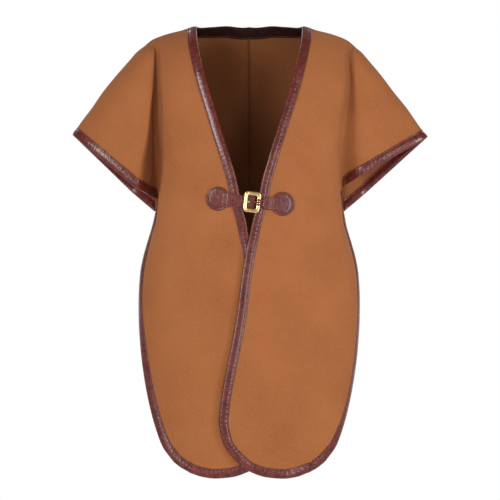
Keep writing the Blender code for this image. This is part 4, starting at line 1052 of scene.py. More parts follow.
# Rows of the profile's outer face, from the sewn side round to the fold: inward share of the band,
# height over the cloth's middle, reach out past its edge, and how much it puckers. The bed is the
# inner face, against the cloth.
PROFILE = (
    (1.00, 1.30, 0.0, 0.0),
    (1.00, 2.00, 0.0, 0.2),
    (0.975, 2.45, 0.0, 0.3),
    (0.93, 2.50, 0.0, 0.4),
    (0.885, 2.00, 0.0, 0.2),
    (0.85, 1.82, 0.0, 0.1),
    (0.81, 1.95, 0.0, 0.4),
    (0.74, 2.28, 0.0, 1.0),
    (0.62, 2.72, 0.0, 1.3),
    (0.48, 3.05, 0.0, 1.2),
    (0.34, 3.16, 0.0, 1.0),
    (0.20, 3.05, 0.0, 0.9),
    (0.08, 2.85, 0.0, 0.9),
    (0.0, 2.55, 0.5, 0.8),
    (0.0, 1.95, 1.25, 0.7),
    (0.0, 1.05, 1.72, 0.6),
    (0.0, 0.0, 1.90, 0.6),
)
FOLD_BED = ((0.0, -1.25, 0.4, 0.0), (0.0, 1.25, 0.4, 0.0))

# Puckers: their height, the wavelengths of the two ripples across the strip, the slower drifts
# that bend and fade them, how far these swing, and where the second starts. Then the ripples'
# slant, the second one's share, the fade's level and depth, and how they grow to the crown.
PUCKER_HEIGHT = 0.17
RIPPLE, SECOND_RIPPLE = 5.3, 8.9
BEND_DRIFT, FADE_DRIFT, SLOW_DRIFT, SECOND_DRIFT = 23.0, 19.0, 47.0, 37.0
BEND_SWING, SLOW_SWING, SECOND_SWING, SECOND_START = 1.7, 2.0, 2.2, 0.8
RIPPLE_SLANT, SECOND_SLANT = 0.10, 0.16
SECOND_SHARE = 0.6
FADE_LEVEL, FADE_DEPTH = 0.55, 0.45
CROWN_STRETCH, CROWN_START = 0.85, 0.15
CROWN_MORE, CROWN_LEAST = 0.6, 0.4

# Step along a swept edge, how many stations to each side even its normal, and the sewn line.
SWEEP_STEP = 1.7
EVEN_REACH = 4
SEWN_SHARE = 0.865

# Stitches: waxed thread, its pitch, length and thickness, and its height over the strip's middle.
STITCH_PITCH = 3.5
STITCH_LONG = 2.5
STITCH_THICK = 0.34
STITCH_HEIGHT = 1.98

# Rings of a stitch: place along it as a share of its length, share of its thickness, and how far
# it stands up or is sunk.
STITCH_RINGS = (
    (-0.5, 0.25, -0.2),
    (-0.3, 1.0, 0.18),
    (0.3, 1.0, 0.18),
    (0.5, 0.25, -0.2),
)


def make_leather(name, colours, worn, roughness, gloss_level, coat):
    """Leather: patchy two-tone colour, wrinkles stretched across the strip, fine grain in the bump."""
    material, tree, shader = finish(
        name,
        Specular_IOR_Level=gloss_level,
        Coat_Weight=coat,
        Coat_Roughness=0.09,
    )
    place = placed(tree, "ShaderNodeTexCoord").outputs["Object"]
    along = placed(tree, "ShaderNodeAttribute", attribute_name="along").outputs["Fac"]
    across = placed(tree, "ShaderNodeAttribute", attribute_name="across").outputs["Fac"]
    strip = placed(tree, "ShaderNodeCombineXYZ", {0: along, 1: across}).outputs[0]
    grain = speckle(tree, place, scale=1500.0, detail=3.0)
    patchy = speckle(tree, place, scale=70.0, detail=4.0, low=0.32, high=0.72, colours=colours)
    wrinkle = speckle(tree, strip, scale=1.0, detail=3.0, low=0.45, high=0.75,
                      stretch=(230.0, 60.0, 1.0))
    rubbed = maths(tree, "MULTIPLY", wrinkle["Mask"], 0.5)
    tree.links.new(mix(tree, rubbed, patchy["Colour"], worn), shader.inputs["Base Color"])
    duller = roughness + 0.14
    dull = levels(tree, patchy["Height"], low=0.3, high=0.7, least=roughness, most=duller)
    tree.links.new(dull, shader.inputs["Roughness"])
    fine = bump(tree, grain["Height"], strength=0.22, distance=0.0003)
    wrinkled = bump(tree, wrinkle["Height"], strength=0.55, distance=0.0014, normal=fine)
    tree.links.new(wrinkled, shader.inputs["Normal"])
    return material


def make_thread():
    """Waxed thread: a little lighter than the leather, with a fine twist."""
    material, tree, shader = finish("waxed_thread", Roughness=0.42)
    place = placed(tree, "ShaderNodeTexCoord").outputs["Object"]
    colours = ((0.11, 0.036, 0.028), (0.26, 0.11, 0.085))
    twist = speckle(tree, place, scale=2600.0, detail=2.0, low=0.3, high=0.7, colours=colours)
    tree.links.new(twist["Colour"], shader.inputs["Base Color"])
    twisted = bump(tree, twist["Height"], strength=0.3, distance=0.0002)
    tree.links.new(twisted, shader.inputs["Normal"])
    return material


leather = make_leather(
    "oxblood_leather",
    ((0.056, 0.0060, 0.0040), (0.138, 0.0170, 0.0115)),
    worn=(0.200, 0.040, 0.028),
    roughness=0.20,
    gloss_level=0.31,
    coat=0.32,
)
# A shaded copy of the leather: painted shade for the neck binding's faces that turn in towards the neck.
neck_leather_shaded = make_leather(
    "neck_leather_painted_shade",
    ((0.008, 0.0022, 0.0018), (0.026, 0.0060, 0.0050)),
    worn=(0.040, 0.012, 0.010),
    roughness=0.45,
    gloss_level=0.10,
    coat=0.0,
)
thread = make_thread()


def swept_binding(edge, inner, normal):
    """Points, faces and marks of a binding: its profile carried along an edge.

    A point is edge + inward share of (inner - edge) + height along the normal + out away from the
    cloth. The height gains a pucker, a product of sines of the length along, which fades to the
    sewn groove. A fan closes each end.
    """
    back_side = tuple((i, -h, o, p) for i, h, o, p in reversed(PROFILE[:-1]))
    inward, height, out, pucker = np.array(PROFILE + back_side + FOLD_BED).T
    length = length_along(edge)
    u = length[:, None]
    v = inward[None, :] * EDGE_BAND
    turned = BEND_SWING * np.sin(u / BEND_DRIFT)
    wave = np.sin(u * 2 * math.pi / RIPPLE + turned + v * RIPPLE_SLANT * np.sign(height))
    faded = np.sin(u / FADE_DRIFT + SLOW_SWING * np.sin(u / SLOW_DRIFT))
    wave *= FADE_LEVEL + FADE_DEPTH * faded
    second = u * 2 * math.pi / SECOND_RIPPLE - v * SECOND_SLANT
    second = second + SECOND_SWING * np.sin(u / SECOND_DRIFT) + SECOND_START
    wave += SECOND_SHARE * np.sin(second)
    crown = np.clip(inward[None, :] * CROWN_STRETCH + CROWN_START, 0.0, 1.0)
    wave *= np.sin(crown * math.pi) * CROWN_MORE + CROWN_LEAST
    lift = PUCKER_HEIGHT * pucker[None, :] * wave
    away = edge - inner
    away /= np.linalg.norm(away, axis=1)[:, None]
    base = edge[:, None] + (inner - edge)[:, None] * inward[None, :, None]
    signed = (height + np.sign(height) * lift)[..., None]
    reach = (out + lift * (out > 0.0))[..., None]
    points = base + normal[:, None] * signed + away[:, None] * reach

    rows_count, cols = points.shape[:2]
    total = rows_count * cols
    first = np.arange(cols)
    turned_on = np.roll(first, -1)
    last = total - cols
    faces = quads_of(rows_count, cols, wrap=True).tolist()
    faces += np.stack([first, turned_on, np.full(cols, total)], axis=1).tolist()
    faces += np.stack([turned_on + last, first + last, np.full(cols, total + 1)], axis=1).tolist()
    across = length_along(points[rows_count // 2])
    marks = {
        "along": np.concatenate([np.repeat(length, cols), [0.0, length[-1]]]) * MM,
        "across": np.concatenate([np.tile(across, rows_count), [0.0, 0.0]]) * MM,
    }
    ends = points[[0, -1]].mean(axis=1)
    return np.concatenate([points.reshape(-1, 3), ends]), faces, marks


def strip_normals(edge, inner):
    """Unit normal of a strip: its course crossed with the way into the cloth, evened along it."""
    course = np.gradient(edge, axis=0)
    normal = np.cross(course, inner - edge)
    normal /= np.linalg.norm(normal, axis=1)[:, None]
    kernel = np.ones(2 * EVEN_REACH + 1) / (2 * EVEN_REACH + 1)
    padded = np.pad(normal, ((EVEN_REACH, EVEN_REACH), (0, 0)), mode="edge")
    normal = np.stack([np.convolve(padded[:, k], kernel, mode="valid") for k in range(3)], axis=1)
    return normal / np.linalg.norm(normal, axis=1)[:, None]


def at_lengths(line, length, at):
    """Places on a line at given lengths along it, between its points by straight steps."""
    return np.stack([np.interp(at, length, line[:, k]) for k in range(3)], axis=-1)


def even_strip(edge, inner, step):
    """Edge and inner lines taken again at an even step along the edge."""
    length = length_along(edge)
    at = np.linspace(0.0, length[-1], int(length[-1] / step) + 1)
    return at_lengths(edge, length, at), at_lengths(inner, length, at)


def stitches(line, normal, height, pitch=STITCH_PITCH):
    """Row of short threads on a line: capsules with four sides and four rings, sunk at both ends."""
    length = length_along(line)
    count = max(int(length[-1] / pitch), 2)
    middle = (np.arange(count) + 0.5) * length[-1] / count
    place, thick, rise = np.array(STITCH_RINGS).T
    at = middle[:, None] + (place * STITCH_LONG)[None, :]
    spot = at_lengths(line, length, at)
    up = at_lengths(normal, length, at)
    course = spot[:, -1] - spot[:, 0]
    course /= np.linalg.norm(course, axis=1)[:, None]
    aside = np.cross(up, course[:, None])
    thick = thick[None, :, None, None] * STITCH_THICK
    rise = rise[None, :, None, None]
    angle = np.linspace(0.0, 2 * math.pi, 5)[:-1]
    round_way = np.cos(angle)[:, None] * aside[:, :, None] + np.sin(angle)[:, None] * up[:, :, None]
    points = spot[:, :, None] + up[:, :, None] * (height + rise) + round_way * thick
    starts = 16 * np.arange(count)[:, None, None]
    sides = (quads_of(4, 4, wrap=True)[None] + starts).reshape(-1, 4)
    caps = (np.array([[3, 2, 1, 0], [12, 13, 14, 15]])[None] + starts).reshape(-1, 4)
    return points.reshape(-1, 3), np.concatenate([sides, caps])


def sew(name, *rows):
    """One piece of thread from rows of stitches."""
    points = np.concatenate([row_points for row_points, _ in rows])
    starts = np.cumsum([0] + [len(row_points) for row_points, _ in rows])
    faces = np.concatenate([row_faces + start for (_, row_faces), start in zip(rows, starts)])
    new_piece("stitches_" + name, points, faces.tolist(), thread)


def bind(name, node, edge, inner, flat):
    """Binding and its two rows of stitches, one on each face, on one edge."""
    edge, inner = even_strip(edge, inner, SWEEP_STEP)
    normal = strip_normals(edge, inner)
    points, faces, marks = swept_binding(edge, inner, normal)
    piece = new_piece(name, points, faces, leather, merge=1e-6, marks=marks)
    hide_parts(node)
    line = edge + (inner - edge) * SEWN_SHARE
    sew(node, stitches(line, normal, STITCH_HEIGHT), stitches(line, -normal, STITCH_HEIGHT))
    return piece


def end_to_end(first, second):
    """Edge and inner lines of two halves that start at one place, as one line."""
    return [np.concatenate([a[::-1], b[1:]]) for a, b in zip(first, second)]


SLEEVE_CUT = {"right": (0.040, 0.51), "left": (0.040, 0.45)}
for side in ("right", "left"):
    bind("leather_front_" + side, "front_binding_" + side, *halves[("front", side)]["edge"], (0.040, 1.66))
    ahead = halves[("front", side)]["cuff"]
    behind = halves[("back", side)]["cuff"]
    edge, inner = (np.concatenate([a, b[::-1][1:]]) for a, b in zip(ahead, behind))
    bind("leather_sleeve_" + side, "sleeve_binding_" + side, edge, inner, SLEEVE_CUT[side])

back_right, back_left = halves[("back", "right")], halves[("back", "left")]
edge, inner = end_to_end(back_right["edge"], back_left["edge"])
bind("leather_back", "back_binding", edge, inner, (0.040, 1.36))
edge, inner = end_to_end(back_right["neck"], back_left["neck"])
neck_piece = bind("leather_neck", "neck_binding", edge, inner, (0.054, 0.335))
# The neck binding's faces that turn in towards the middle take the leather with painted shade.
neck_piece.data.materials.append(neck_leather_shaded)
middle_of = np.array([face.center[:] for face in neck_piece.data.polygons])
normal_of = np.array([face.normal[:] for face in neck_piece.data.polygons])
neck_faces_in_shade = (normal_of[:, :2] * middle_of[:, :2]).sum(axis=1) < 0.0
neck_piece.data.polygons.foreach_set("material_index", neck_faces_in_shade.astype(np.int32))


# Patches. One round leather disc on each front, sewn near the rim in a pressed groove, with a skived
# edge. They carry the closure, whose middle and slope place it on the two fronts.
CLEAR = 0.4
CLOSURE_MIDDLE = (5.4, 544.5)
CLOSURE_SLOPE = math.radians(4.6)
BRIDGE_HALF = 25.0
PATCH_RADIUS = 23.6
PATCH_THICK = 1.8
PATCH_HEIGHT = CLOTH / 2 + CLEAR + PATCH_THICK / 2
PATCH_MIDDLES = {"right": (-67.6, 1.2), "left": (60.4, 1.2)}
PATCH_TURNS = 96
PATCH_STITCH_PITCH = 3.0
PATCH_STITCH_POINTS = 121
PATCH_STITCH_HEIGHT = 0.15

# A patch is cut a little out of round: waves round its rim, their share of the radius, and where
# they start.
PATCH_WAVES = ((3.0, 0.006, 0.7), (7.0, 0.004, 0.0))

# Rings of a patch from its middle out and round its edge: share of the radius, and of half the
# thickness.
GROOVE_SHARE = 0.83
GROOVE_DEPTH = 0.42
PATCH_RINGS = (
    (0.0, 1.0),
    (0.12, 1.0),
    (0.25, 1.0),
    (0.4, 1.0),
    (0.55, 1.02),
    (0.68, 1.0),
    (0.76, 0.92),
    (0.80, 0.62),
    (GROOVE_SHARE, 0.50),
    (0.86, 0.62),
    (0.89, 0.92),
    (0.93, 1.0),
    (0.97, 0.86),
    (0.99, 0.6),
    (1.0, 0.2),
    (1.0, -0.8),
    (0.98, -1.0),
)
fronts = {side: Body("front", side) for side in ("right", "left")}


def front_depth(x, z, side):
    """Depth of a front at a seen place: its oval, solved for the distance from the middle."""
    body = fronts[side]
    power = 2.0 / FULLNESS
    oval = np.radians(body.size("oval", z))
    middle = middle_depth("front", z)
    wide = body.size("turn_x", z) / np.sin(oval) ** power
    deep = (body.size("turn_y", z) - middle) / (1.0 - np.maximum(np.cos(oval), 0.0) ** power)
    angle = np.arcsin(np.clip((np.abs(x) / wide) ** (1.0 / power), 0.0, 1.0))
    return middle + deep * (1.0 - np.cos(angle) ** power) + body.lap(x, z)


def closure_point(along_at, across_at, height):
    """Place on the closure: along the strap, across it, and out from the cloth under it."""
    along_at, across_at, height = np.broadcast_arrays(along_at, across_at, height)
    level, steep = math.cos(CLOSURE_SLOPE), math.sin(CLOSURE_SLOPE)
    x = CLOSURE_MIDDLE[0] + along_at * level + across_at * steep
    z = CLOSURE_MIDDLE[1] - along_at * steep + across_at * level
    right_y = front_depth(np.minimum(x, -BRIDGE_HALF), z, "right")
    left_y = front_depth(np.maximum(x, BRIDGE_HALF), z, "left")
    share = np.clip((x + BRIDGE_HALF) / (2.0 * BRIDGE_HALF), 0.0, 1.0)
    return np.stack([x, right_y + (left_y - right_y) * share - height, z], axis=-1)


def circle(count):
    """Evenly spaced turns once round, without meeting the first again, their cosines and sines."""
    turn = np.linspace(0.0, 2 * math.pi, count + 1)[:-1]
    return turn, np.cos(turn), np.sin(turn)


for side, middle in PATCH_MIDDLES.items():
    ring_share, ring_high = np.array(PATCH_RINGS).T[:, :, None]
    turn, ahead, aside = circle(PATCH_TURNS)
    wobble = 1.0
    for waves, wave_share, start in PATCH_WAVES:
        wobble = wobble + wave_share * np.sin(waves * turn + start)
    radius = ring_share * PATCH_RADIUS * wobble
    x, y = radius * ahead, radius * aside
    points = closure_point(middle[0] + x, middle[1] + y, PATCH_HEIGHT + ring_high * PATCH_THICK / 2)
    bottom = closure_point(*middle, PATCH_HEIGHT - PATCH_THICK / 2)
    last = np.arange(x.size - len(turn), x.size)
    faces = quads_of(*x.shape, wrap=True).tolist()
    faces += np.stack([last, np.roll(last, -1), np.full(len(turn), x.size)], axis=1).tolist()
    marks = {"along": np.append(x, 0.0) * MM, "across": np.append(y, 0.0) * MM}
    piece = new_piece("leather_patch_" + side, np.concatenate([points.reshape(-1, 3), bottom[None]]),
                      faces, leather, merge=1e-6, marks=marks)
    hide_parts("patch_" + side)
    turn = np.linspace(0.0, 2 * math.pi, PATCH_STITCH_POINTS)
    sewn = GROOVE_SHARE * PATCH_RADIUS
    line = closure_point(middle[0] + sewn * np.cos(turn), middle[1] + sewn * np.sin(turn),
                         PATCH_HEIGHT + PATCH_THICK / 2 - GROOVE_DEPTH)
    forward = np.tile([0.0, -1.0, 0.0], (len(turn), 1))
    sew("patch_" + side, stitches(line, forward, PATCH_STITCH_HEIGHT, PATCH_STITCH_PITCH))


# Straps. The right one lies under the buckle; the left one loops round the buckle's bar, with a slot
# there for the prong. Both are of the same leather, with a round sewn end, a skived edge, a pressed
# groove along each side and one punched hole.
STRAP_THICK = 1.6
STRAP_WIDTH = 24.0
STRAP_CLEAR = 0.3
STRAP_HEIGHT = PATCH_HEIGHT + PATCH_THICK / 2 + STRAP_CLEAR + STRAP_THICK / 2
STRAP_STEP = 0.9
STRAP_COLUMNS = (-1.0, -0.965, -0.9, -0.83, -0.76, -0.64, -0.5, -0.36, -0.22, -0.13, -0.06, 0.0)
END_POINTS = 7
TIP_ANGLE = 0.12
LOOP_HALF = 6.2
SLOT_HALF = 2.7
SKIVE_FROM, SKIVE_SHARE = 0.93, 0.45
STRAP_GROOVE, STRAP_GROOVE_WIDE, STRAP_GROOVE_DEEP = 0.80, 0.045, 0.26
HOLE_RADIUS = 1.3
HOLE_PROUD = 0.06
HOLE_TURNS = 24
FRAME_THICK = 3.2
FRAME_CLEAR = 0.6
FRAME_HEIGHT = STRAP_HEIGHT + STRAP_THICK / 2 + FRAME_CLEAR + FRAME_THICK / 2
WINDOW_HALF = (9.4, 12.9)

# Holes are not cut through: a near-black disc of painted shade stands in each one, for its dark inside.
punched, _, _ = finish(
    "hole_painted_shade",
    Base_Color=(0.006, 0.002, 0.0015),
    Roughness=0.9,
    Specular_IOR_Level=0.1,
)


def strap(side, stations, hole, slot):
    """Ribbon on closure_point(along, across, height) through stations (along, height, half width).

    Between the two stations that slot names, the ribbon parts at its middle. Its faces stand off
    its middle surface by half the thickness, less at the skived edge and in the groove. hole is
    the place of the punched hole.
    """
    stations = np.array(stations)
    space = np.stack([stations[:, 0], stations[:, 1], np.zeros(len(stations))], axis=1)
    length = length_along(space)
    at = np.linspace(0.0, length[-1], int(length[-1] / STRAP_STEP) + 1)
    along_at, height_at, half_at = (through(length, values, at) for values in stations.T)
    inner = np.array(STRAP_COLUMNS)
    columns_at = np.concatenate([inner, -inner[:-1][::-1]])
    across_at = half_at[:, None] * columns_at[None, :]
    slotted = np.zeros(len(at), dtype=bool)
    if slot is not None:
        slotted = (at > length[slot[0]]) & (at < length[slot[1]])
        pushed = np.sign(columns_at) * (SLOT_HALF + (LOOP_HALF - SLOT_HALF) * np.abs(columns_at))
        across_at = np.where(slotted[:, None], pushed[None, :], across_at)
    spot = closure_point(along_at[:, None], across_at, height_at[:, None])
    normal = np.cross(np.gradient(spot, axis=0), np.gradient(spot, axis=1))
    normal /= np.maximum(np.linalg.norm(normal, axis=-1), 1e-9)[..., None]
    near_edge = np.abs(columns_at)[None, :]
    crown = 1.0 - SKIVE_SHARE * ease((near_edge - SKIVE_FROM) / (1.0 - SKIVE_FROM))
    groove = STRAP_GROOVE_DEEP * np.exp(-((near_edge - STRAP_GROOVE) / STRAP_GROOVE_WIDE) ** 2)
    top = spot + normal * (STRAP_THICK / 2 * crown - groove)[..., None]
    under = spot - normal * (STRAP_THICK / 2 * crown)[..., None]

    rows_count, cols = spot.shape[:2]
    keep = np.ones((rows_count - 1, cols - 1), dtype=bool)
    closed = slotted[:-1] & slotted[1:]
    keep[np.ix_(closed, np.arange(cols // 2 - 1, cols // 2 + 1))] = False
    total = rows_count * cols
    upper = quads_of(rows_count, cols)[keep.ravel()]
    lower = quads_of(rows_count, cols, total, flip=True)[keep.ravel()]
    directed = np.concatenate([upper[:, [k, (k + 1) % 4]] for k in range(4)])
    ordered = np.sort(directed, axis=1)
    _, where, counts = np.unique(ordered, axis=0, return_inverse=True, return_counts=True)
    rim = directed[counts[where.ravel()] == 1]
    walls = np.stack([rim[:, 1], rim[:, 0], rim[:, 0] + total, rim[:, 1] + total], axis=1)
    marks = {
        "along": np.tile(np.repeat(at, cols), 2) * MM,
        "across": np.tile(across_at.ravel(), 2) * MM,
    }
    points = np.concatenate([top.reshape(-1, 3), under.reshape(-1, 3)])
    faces = np.concatenate([upper, lower, walls]).tolist()
    piece = new_piece("leather_strap_" + side, points, faces, leather, merge=1e-6, marks=marks)
    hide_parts("strap_" + side)

    # Painted shade: a near-black disc, a little proud of the strap, fills the hole.
    turn, ahead, aside = circle(HOLE_TURNS)
    rings = closure_point(hole[0] + HOLE_RADIUS * ahead, hole[1] + HOLE_RADIUS * aside,
                          hole[2] + np.array([[STRAP_THICK / 2 + HOLE_PROUD], [0.0]]))
    sides = quads_of(2, len(turn), wrap=True).tolist()
    sides += [list(range(len(turn))), list(range(len(turn), 2 * len(turn)))]
    new_piece("hole_strap_" + side, rings.reshape(-1, 3), sides, punched, smooth=False)


def round_end(start, direction):
    """Stations of a half-round strap end, from its tip inwards, before they are given a height."""
    angle = np.linspace(TIP_ANGLE, math.pi / 2, END_POINTS)
    half = STRAP_WIDTH / 2
    return [(start + direction * half * (1.0 - math.cos(a)), half * math.sin(a)) for a in angle]


# The right strap sinks into its patch over SUNK_FADE up to SUNK_FROM, and flares a little there.
SUNK, SUNK_FROM, SUNK_FADE = 1.6, -46.0, 14.0
RIGHT_REACH = (
    (-54.0, 12.8),
    (-50.0, 14.3),
    (-47.0, 13.7),
    (-44.0, 12.7),
    (-40.0, 12.0),
    (-28.0, 12.0),
    (-18.0, 12.0),
    (-8.0, 12.0),
    (5.2, 12.0),
)
stations = [
    (along_at, STRAP_HEIGHT - SUNK * float(ease((SUNK_FROM - along_at) / SUNK_FADE)), half)
    for along_at, half in round_end(-71.0, 1.0) + list(RIGHT_REACH)
]
strap("right", stations, (-38.5, 0.3, STRAP_HEIGHT), None)

# The left strap rises off its patch, narrows, passes over the bar and through the window, and comes
# back under itself. It clears the bar's inner side, its top and its own end by these gaps.
WINDOW_GAP, OVER_GAP, RETURN_GAP = 0.6, 0.5, 0.4
SLOT_STATIONS = 8
left_at = WINDOW_HALF[0] - WINDOW_GAP - STRAP_THICK / 2
over = FRAME_HEIGHT + FRAME_THICK / 2 + OVER_GAP + STRAP_THICK / 2
upper = STRAP_HEIGHT + STRAP_THICK + RETURN_GAP
stations = [(along_at, STRAP_HEIGHT, half) for along_at, half in round_end(62.0, -1.0)]
stations += [
    (43.0, STRAP_HEIGHT, STRAP_WIDTH / 2),
    (38.5, STRAP_HEIGHT + 0.8, STRAP_WIDTH / 2),
    (34.5, upper, STRAP_WIDTH / 2),
    (27.5, upper, STRAP_WIDTH / 2),
    (22.6, upper + 0.2, STRAP_WIDTH / 2),
]
slot = (len(stations), len(stations) + SLOT_STATIONS)
stations += [
    (21.8, upper + 0.8, LOOP_HALF),
    (18.3, over - 0.3, LOOP_HALF),
    (14.0, over, LOOP_HALF),
    (9.6, over, LOOP_HALF),
    (left_at + 0.6, over - 1.0, LOOP_HALF),
    (left_at, FRAME_HEIGHT, LOOP_HALF),
    (left_at + 0.6, STRAP_HEIGHT + 1.0, LOOP_HALF),
    (9.6, STRAP_HEIGHT, LOOP_HALF),
    (14.0, STRAP_HEIGHT, LOOP_HALF),
    (19.0, STRAP_HEIGHT, LOOP_HALF),
    (27.0, STRAP_HEIGHT, LOOP_HALF),
]
strap("left", stations, (29.5, -0.4, upper), slot)


# Buckle frame. Cast in warm brass and polished, with rounded corners and a shallow groove down its
# bar at the wearer's right, where the prong rests. It hangs in the left strap's loop.
FRAME_HALF = (16.4, 20.5)
FRAME_CORNER = 7.0
WINDOW_CORNER = 3.5
FRAME_TILT = math.radians(2.4)
CORNER_POINTS = 14
RIM_POINTS = 28
RIM_FLAT, RIM_ROUND = 0.8, 0.75
BAR_GROOVE, BAR_GROOVE_HALF = 0.30, 0.13
BAR_FROM, BAR_FADE, BAR_FACE = 9.0, 5.0, 0.6
BRASS_BRIGHT = (0.86, 0.60, 0.27)
BRASS_DULL = (0.62, 0.38, 0.15)


def make_brass():
    """Polished brass: a little tarnish in the colour, faint long scratches in the bump."""
    material, tree, shader = finish("polished_brass", Metallic=1.0, Roughness=0.20)
    place = placed(tree, "ShaderNodeTexCoord").outputs["Object"]
    tarnish = speckle(tree, place, scale=260.0, detail=4.0, low=0.35, high=0.75,
                      colours=(BRASS_BRIGHT, BRASS_DULL))
    scratch = speckle(tree, place, scale=1400.0, detail=2.0, harshness=0.5, stretch=(1.0, 1.0, 0.08))
    tree.links.new(tarnish["Colour"], shader.inputs["Base Color"])
    scratched = bump(tree, scratch["Height"], strength=0.12, distance=0.0002)
    tree.links.new(scratched, shader.inputs["Normal"])
    return material


def rounded_rectangle(half, corner, count):
    """Points of a rounded rectangle: four quarter circles about the inset corners."""
    step = np.linspace(0.0, 1.0, count)
    quarter = np.arange(4)[:, None]
    angle = math.pi / 2 * (quarter + step[None, :])
    sign_x = np.array([1.0, -1.0, -1.0, 1.0])[:, None]
    sign_y = np.array([1.0, 1.0, -1.0, -1.0])[:, None]
    x = sign_x * (half[0] - corner) + corner * np.cos(angle)
    y = sign_y * (half[1] - corner) + corner * np.sin(angle)
    return np.stack([x.ravel(), y.ravel()], axis=1)


outer = rounded_rectangle(FRAME_HALF, FRAME_CORNER, CORNER_POINTS)
window = rounded_rectangle(WINDOW_HALF, WINDOW_CORNER, CORNER_POINTS)
_, ahead, aside = circle(RIM_POINTS)
share = (0.5 - 0.5 * np.sign(ahead) * np.abs(ahead) ** RIM_FLAT)[None, :]
rise = (0.5 + 0.5 * np.sign(aside) * np.abs(aside) ** RIM_ROUND)[None, :]
flat = outer[:, None] + (window - outer)[:, None] * share[..., None]
on_bar = ease((-outer[:, 0] - BAR_FROM) / BAR_FADE)[:, None]
groove = BAR_GROOVE * on_bar * np.exp(-((share - 0.5) / BAR_GROOVE_HALF) ** 2) * (rise > BAR_FACE)
along_at = flat[..., 0] * math.cos(FRAME_TILT) + flat[..., 1] * math.sin(FRAME_TILT)
across_at = flat[..., 1] * math.cos(FRAME_TILT) - flat[..., 0] * math.sin(FRAME_TILT)
points = closure_point(along_at, across_at, 0.0)
height = FRAME_HEIGHT + (rise - 0.5 - groove) * FRAME_THICK
points[..., 1] = closure_point(0.0, 0.0, 0.0)[1] - height
count, width = points.shape[:2]
quads = quads_of(count + 1, width, wrap=True) % (count * width)
piece = new_piece("brass_frame", points.reshape(-1, 3), quads.tolist(), make_brass())
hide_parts("buckle_frame")


# Buckle prong. The same brass, bright at the tip and painted brown behind it, a painted reflection of
# the leather it lies over. Its form is the imported part's own, merged and rounded.
# Where the painted reflection starts and is full along x, how far its border wanders, in metres, and its
# brown.
REFLECTION_FROM, REFLECTION_TO = 0.0005, 0.0035
REFLECTION_WANDER = 0.003
LEATHER_REFLECTION_BROWN = (0.20, 0.055, 0.030)


def make_brass_painted_reflection():
    """Brass with a painted reflection of the leather in brown along the prong, with a speckled border."""
    material, tree, shader = finish("brass_painted_reflection", Metallic=1.0, Roughness=0.30)
    place = placed(tree, "ShaderNodeTexCoord").outputs["Object"]
    x_axis = placed(tree, "ShaderNodeSeparateXYZ", {0: place}).outputs[0]
    tarnish = speckle(tree, place, scale=400.0, detail=4.0)
    far = maths(tree, "ADD", x_axis, maths(tree, "MULTIPLY", tarnish["Height"], REFLECTION_WANDER))
    reflection_share = levels(tree, far, low=REFLECTION_FROM, high=REFLECTION_TO, least=0.0, most=1.0)
    # Painted reflection: brown where the brass would mirror the leather, bright at the tip.
    colour = mix(tree, reflection_share, BRASS_BRIGHT, LEATHER_REFLECTION_BROWN)
    tree.links.new(colour, shader.inputs["Base Color"])
    return material


prong_mesh = frame["nodes"]["buckle_prong"].data.copy()
shape = bmesh.new()
shape.from_mesh(prong_mesh)
bmesh.ops.remove_doubles(shape, verts=shape.verts, dist=1e-6)
shape.to_mesh(prong_mesh)
shape.free()
prong_mesh.materials.clear()
prong_mesh.materials.append(make_brass_painted_reflection())
prong_mesh.polygons.foreach_set("use_smooth", np.ones(len(prong_mesh.polygons), dtype=bool))
prong = bpy.data.objects.new("brass_prong", prong_mesh)
scene.collection.objects.link(prong)
rounding = prong.modifiers.new("round", "SUBSURF")
rounding.levels = rounding.render_levels = 2
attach(prong, "root")
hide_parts("buckle_prong")


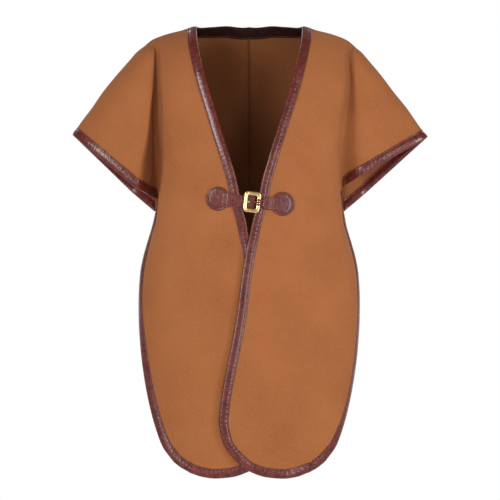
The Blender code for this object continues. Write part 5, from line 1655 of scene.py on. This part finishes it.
# Studio. Pale paper floor far below the hem, soft lights in front and behind, and white
# surroundings. These are brighter low down, and less so in front, where the leather mirrors them.
FLOOR_HALF = 14.0
FLOOR_HEIGHT = -2.5
floor_mesh = bpy.data.meshes.new("studio_floor")
signs = ((-1, -1), (1, -1), (1, 1), (-1, 1))
floor_mesh.from_pydata([(FLOOR_HALF * x, FLOOR_HALF * y, FLOOR_HEIGHT) for x, y in signs], [], [(0, 1, 2, 3)])
paper, _, _ = finish(
    "studio_paper",
    Base_Color=(0.88, 0.88, 0.88),
    Emission_Color=(1.0, 1.0, 1.0),
    Emission_Strength=0.30,
    Roughness=0.9,
    Specular_IOR_Level=0.1,
)
floor_mesh.materials.append(paper)
floor = bpy.data.objects.new("studio_floor", floor_mesh)
scene.collection.objects.link(floor)

# Each light: name, place, height aimed at, width and height, power in watts.
LIGHTS = (
    ("key", (-2.0, -2.7, 0.45), -0.46, (0.9, 1.2), 46.0),
    ("fill", (2.7, -1.9, 0.05), -0.50, (0.9, 1.2), 50.0),
    ("strip_left", (-1.15, -3.1, -0.1), -0.43, (0.30, 1.7), 15.0),
    ("strip_right", (1.10, -3.05, -0.3), -0.48, (0.24, 1.7), 15.0),
    ("back_left", (-1.9, 2.3, 2.1), -0.43, (1.2, 1.4), 24.0),
    ("back_right", (1.9, 2.5, 1.7), -0.43, (1.2, 1.4), 18.0),
)
for name, spot, aim_height, size, power in LIGHTS:
    lamp = bpy.data.lights.new(name, "AREA")
    lamp.shape = "RECTANGLE"
    lamp.size, lamp.size_y = size
    lamp.energy = power
    item = bpy.data.objects.new(name, lamp)
    item.location = spot
    aim = Vector((0.0, 0.0, aim_height)) - Vector(spot)
    item.rotation_euler = aim.to_track_quat("-Z", "Y").to_euler()
    scene.collection.objects.link(item)

world = bpy.data.worlds.new("studio")
world.use_nodes = True
sky = world.node_tree
direction = placed(sky, "ShaderNodeTexCoord").outputs["Generated"]
_, behind, above = placed(sky, "ShaderNodeSeparateXYZ", {0: direction}).outputs
low_light = levels(sky, above, low=0.10, high=0.16, least=0.70, most=0.0)
back_light = levels(sky, behind, low=-0.5, high=0.5, least=0.45, most=1.0)
strength = maths(sky, "ADD", maths(sky, "MULTIPLY", low_light, back_light), 0.30)
sky.links.new(strength, sky.nodes["Background"].inputs["Strength"])
sky.nodes["Background"].inputs["Color"].default_value = (1.0, 1.0, 1.0, 1.0)
scene.world = world

camera = bpy.data.cameras.new("camera")
camera.lens = 288.0
camera.sensor_width = 36.0
camera.clip_end = 60.0
camera_item = bpy.data.objects.new("camera", camera)
camera_item.location = (0.0014, -8.0, -0.430)
camera_item.rotation_euler = (math.radians(90.0), 0.0, 0.0)
scene.collection.objects.link(camera_item)
scene.camera = camera_item
scene.view_settings.view_transform = "Standard"
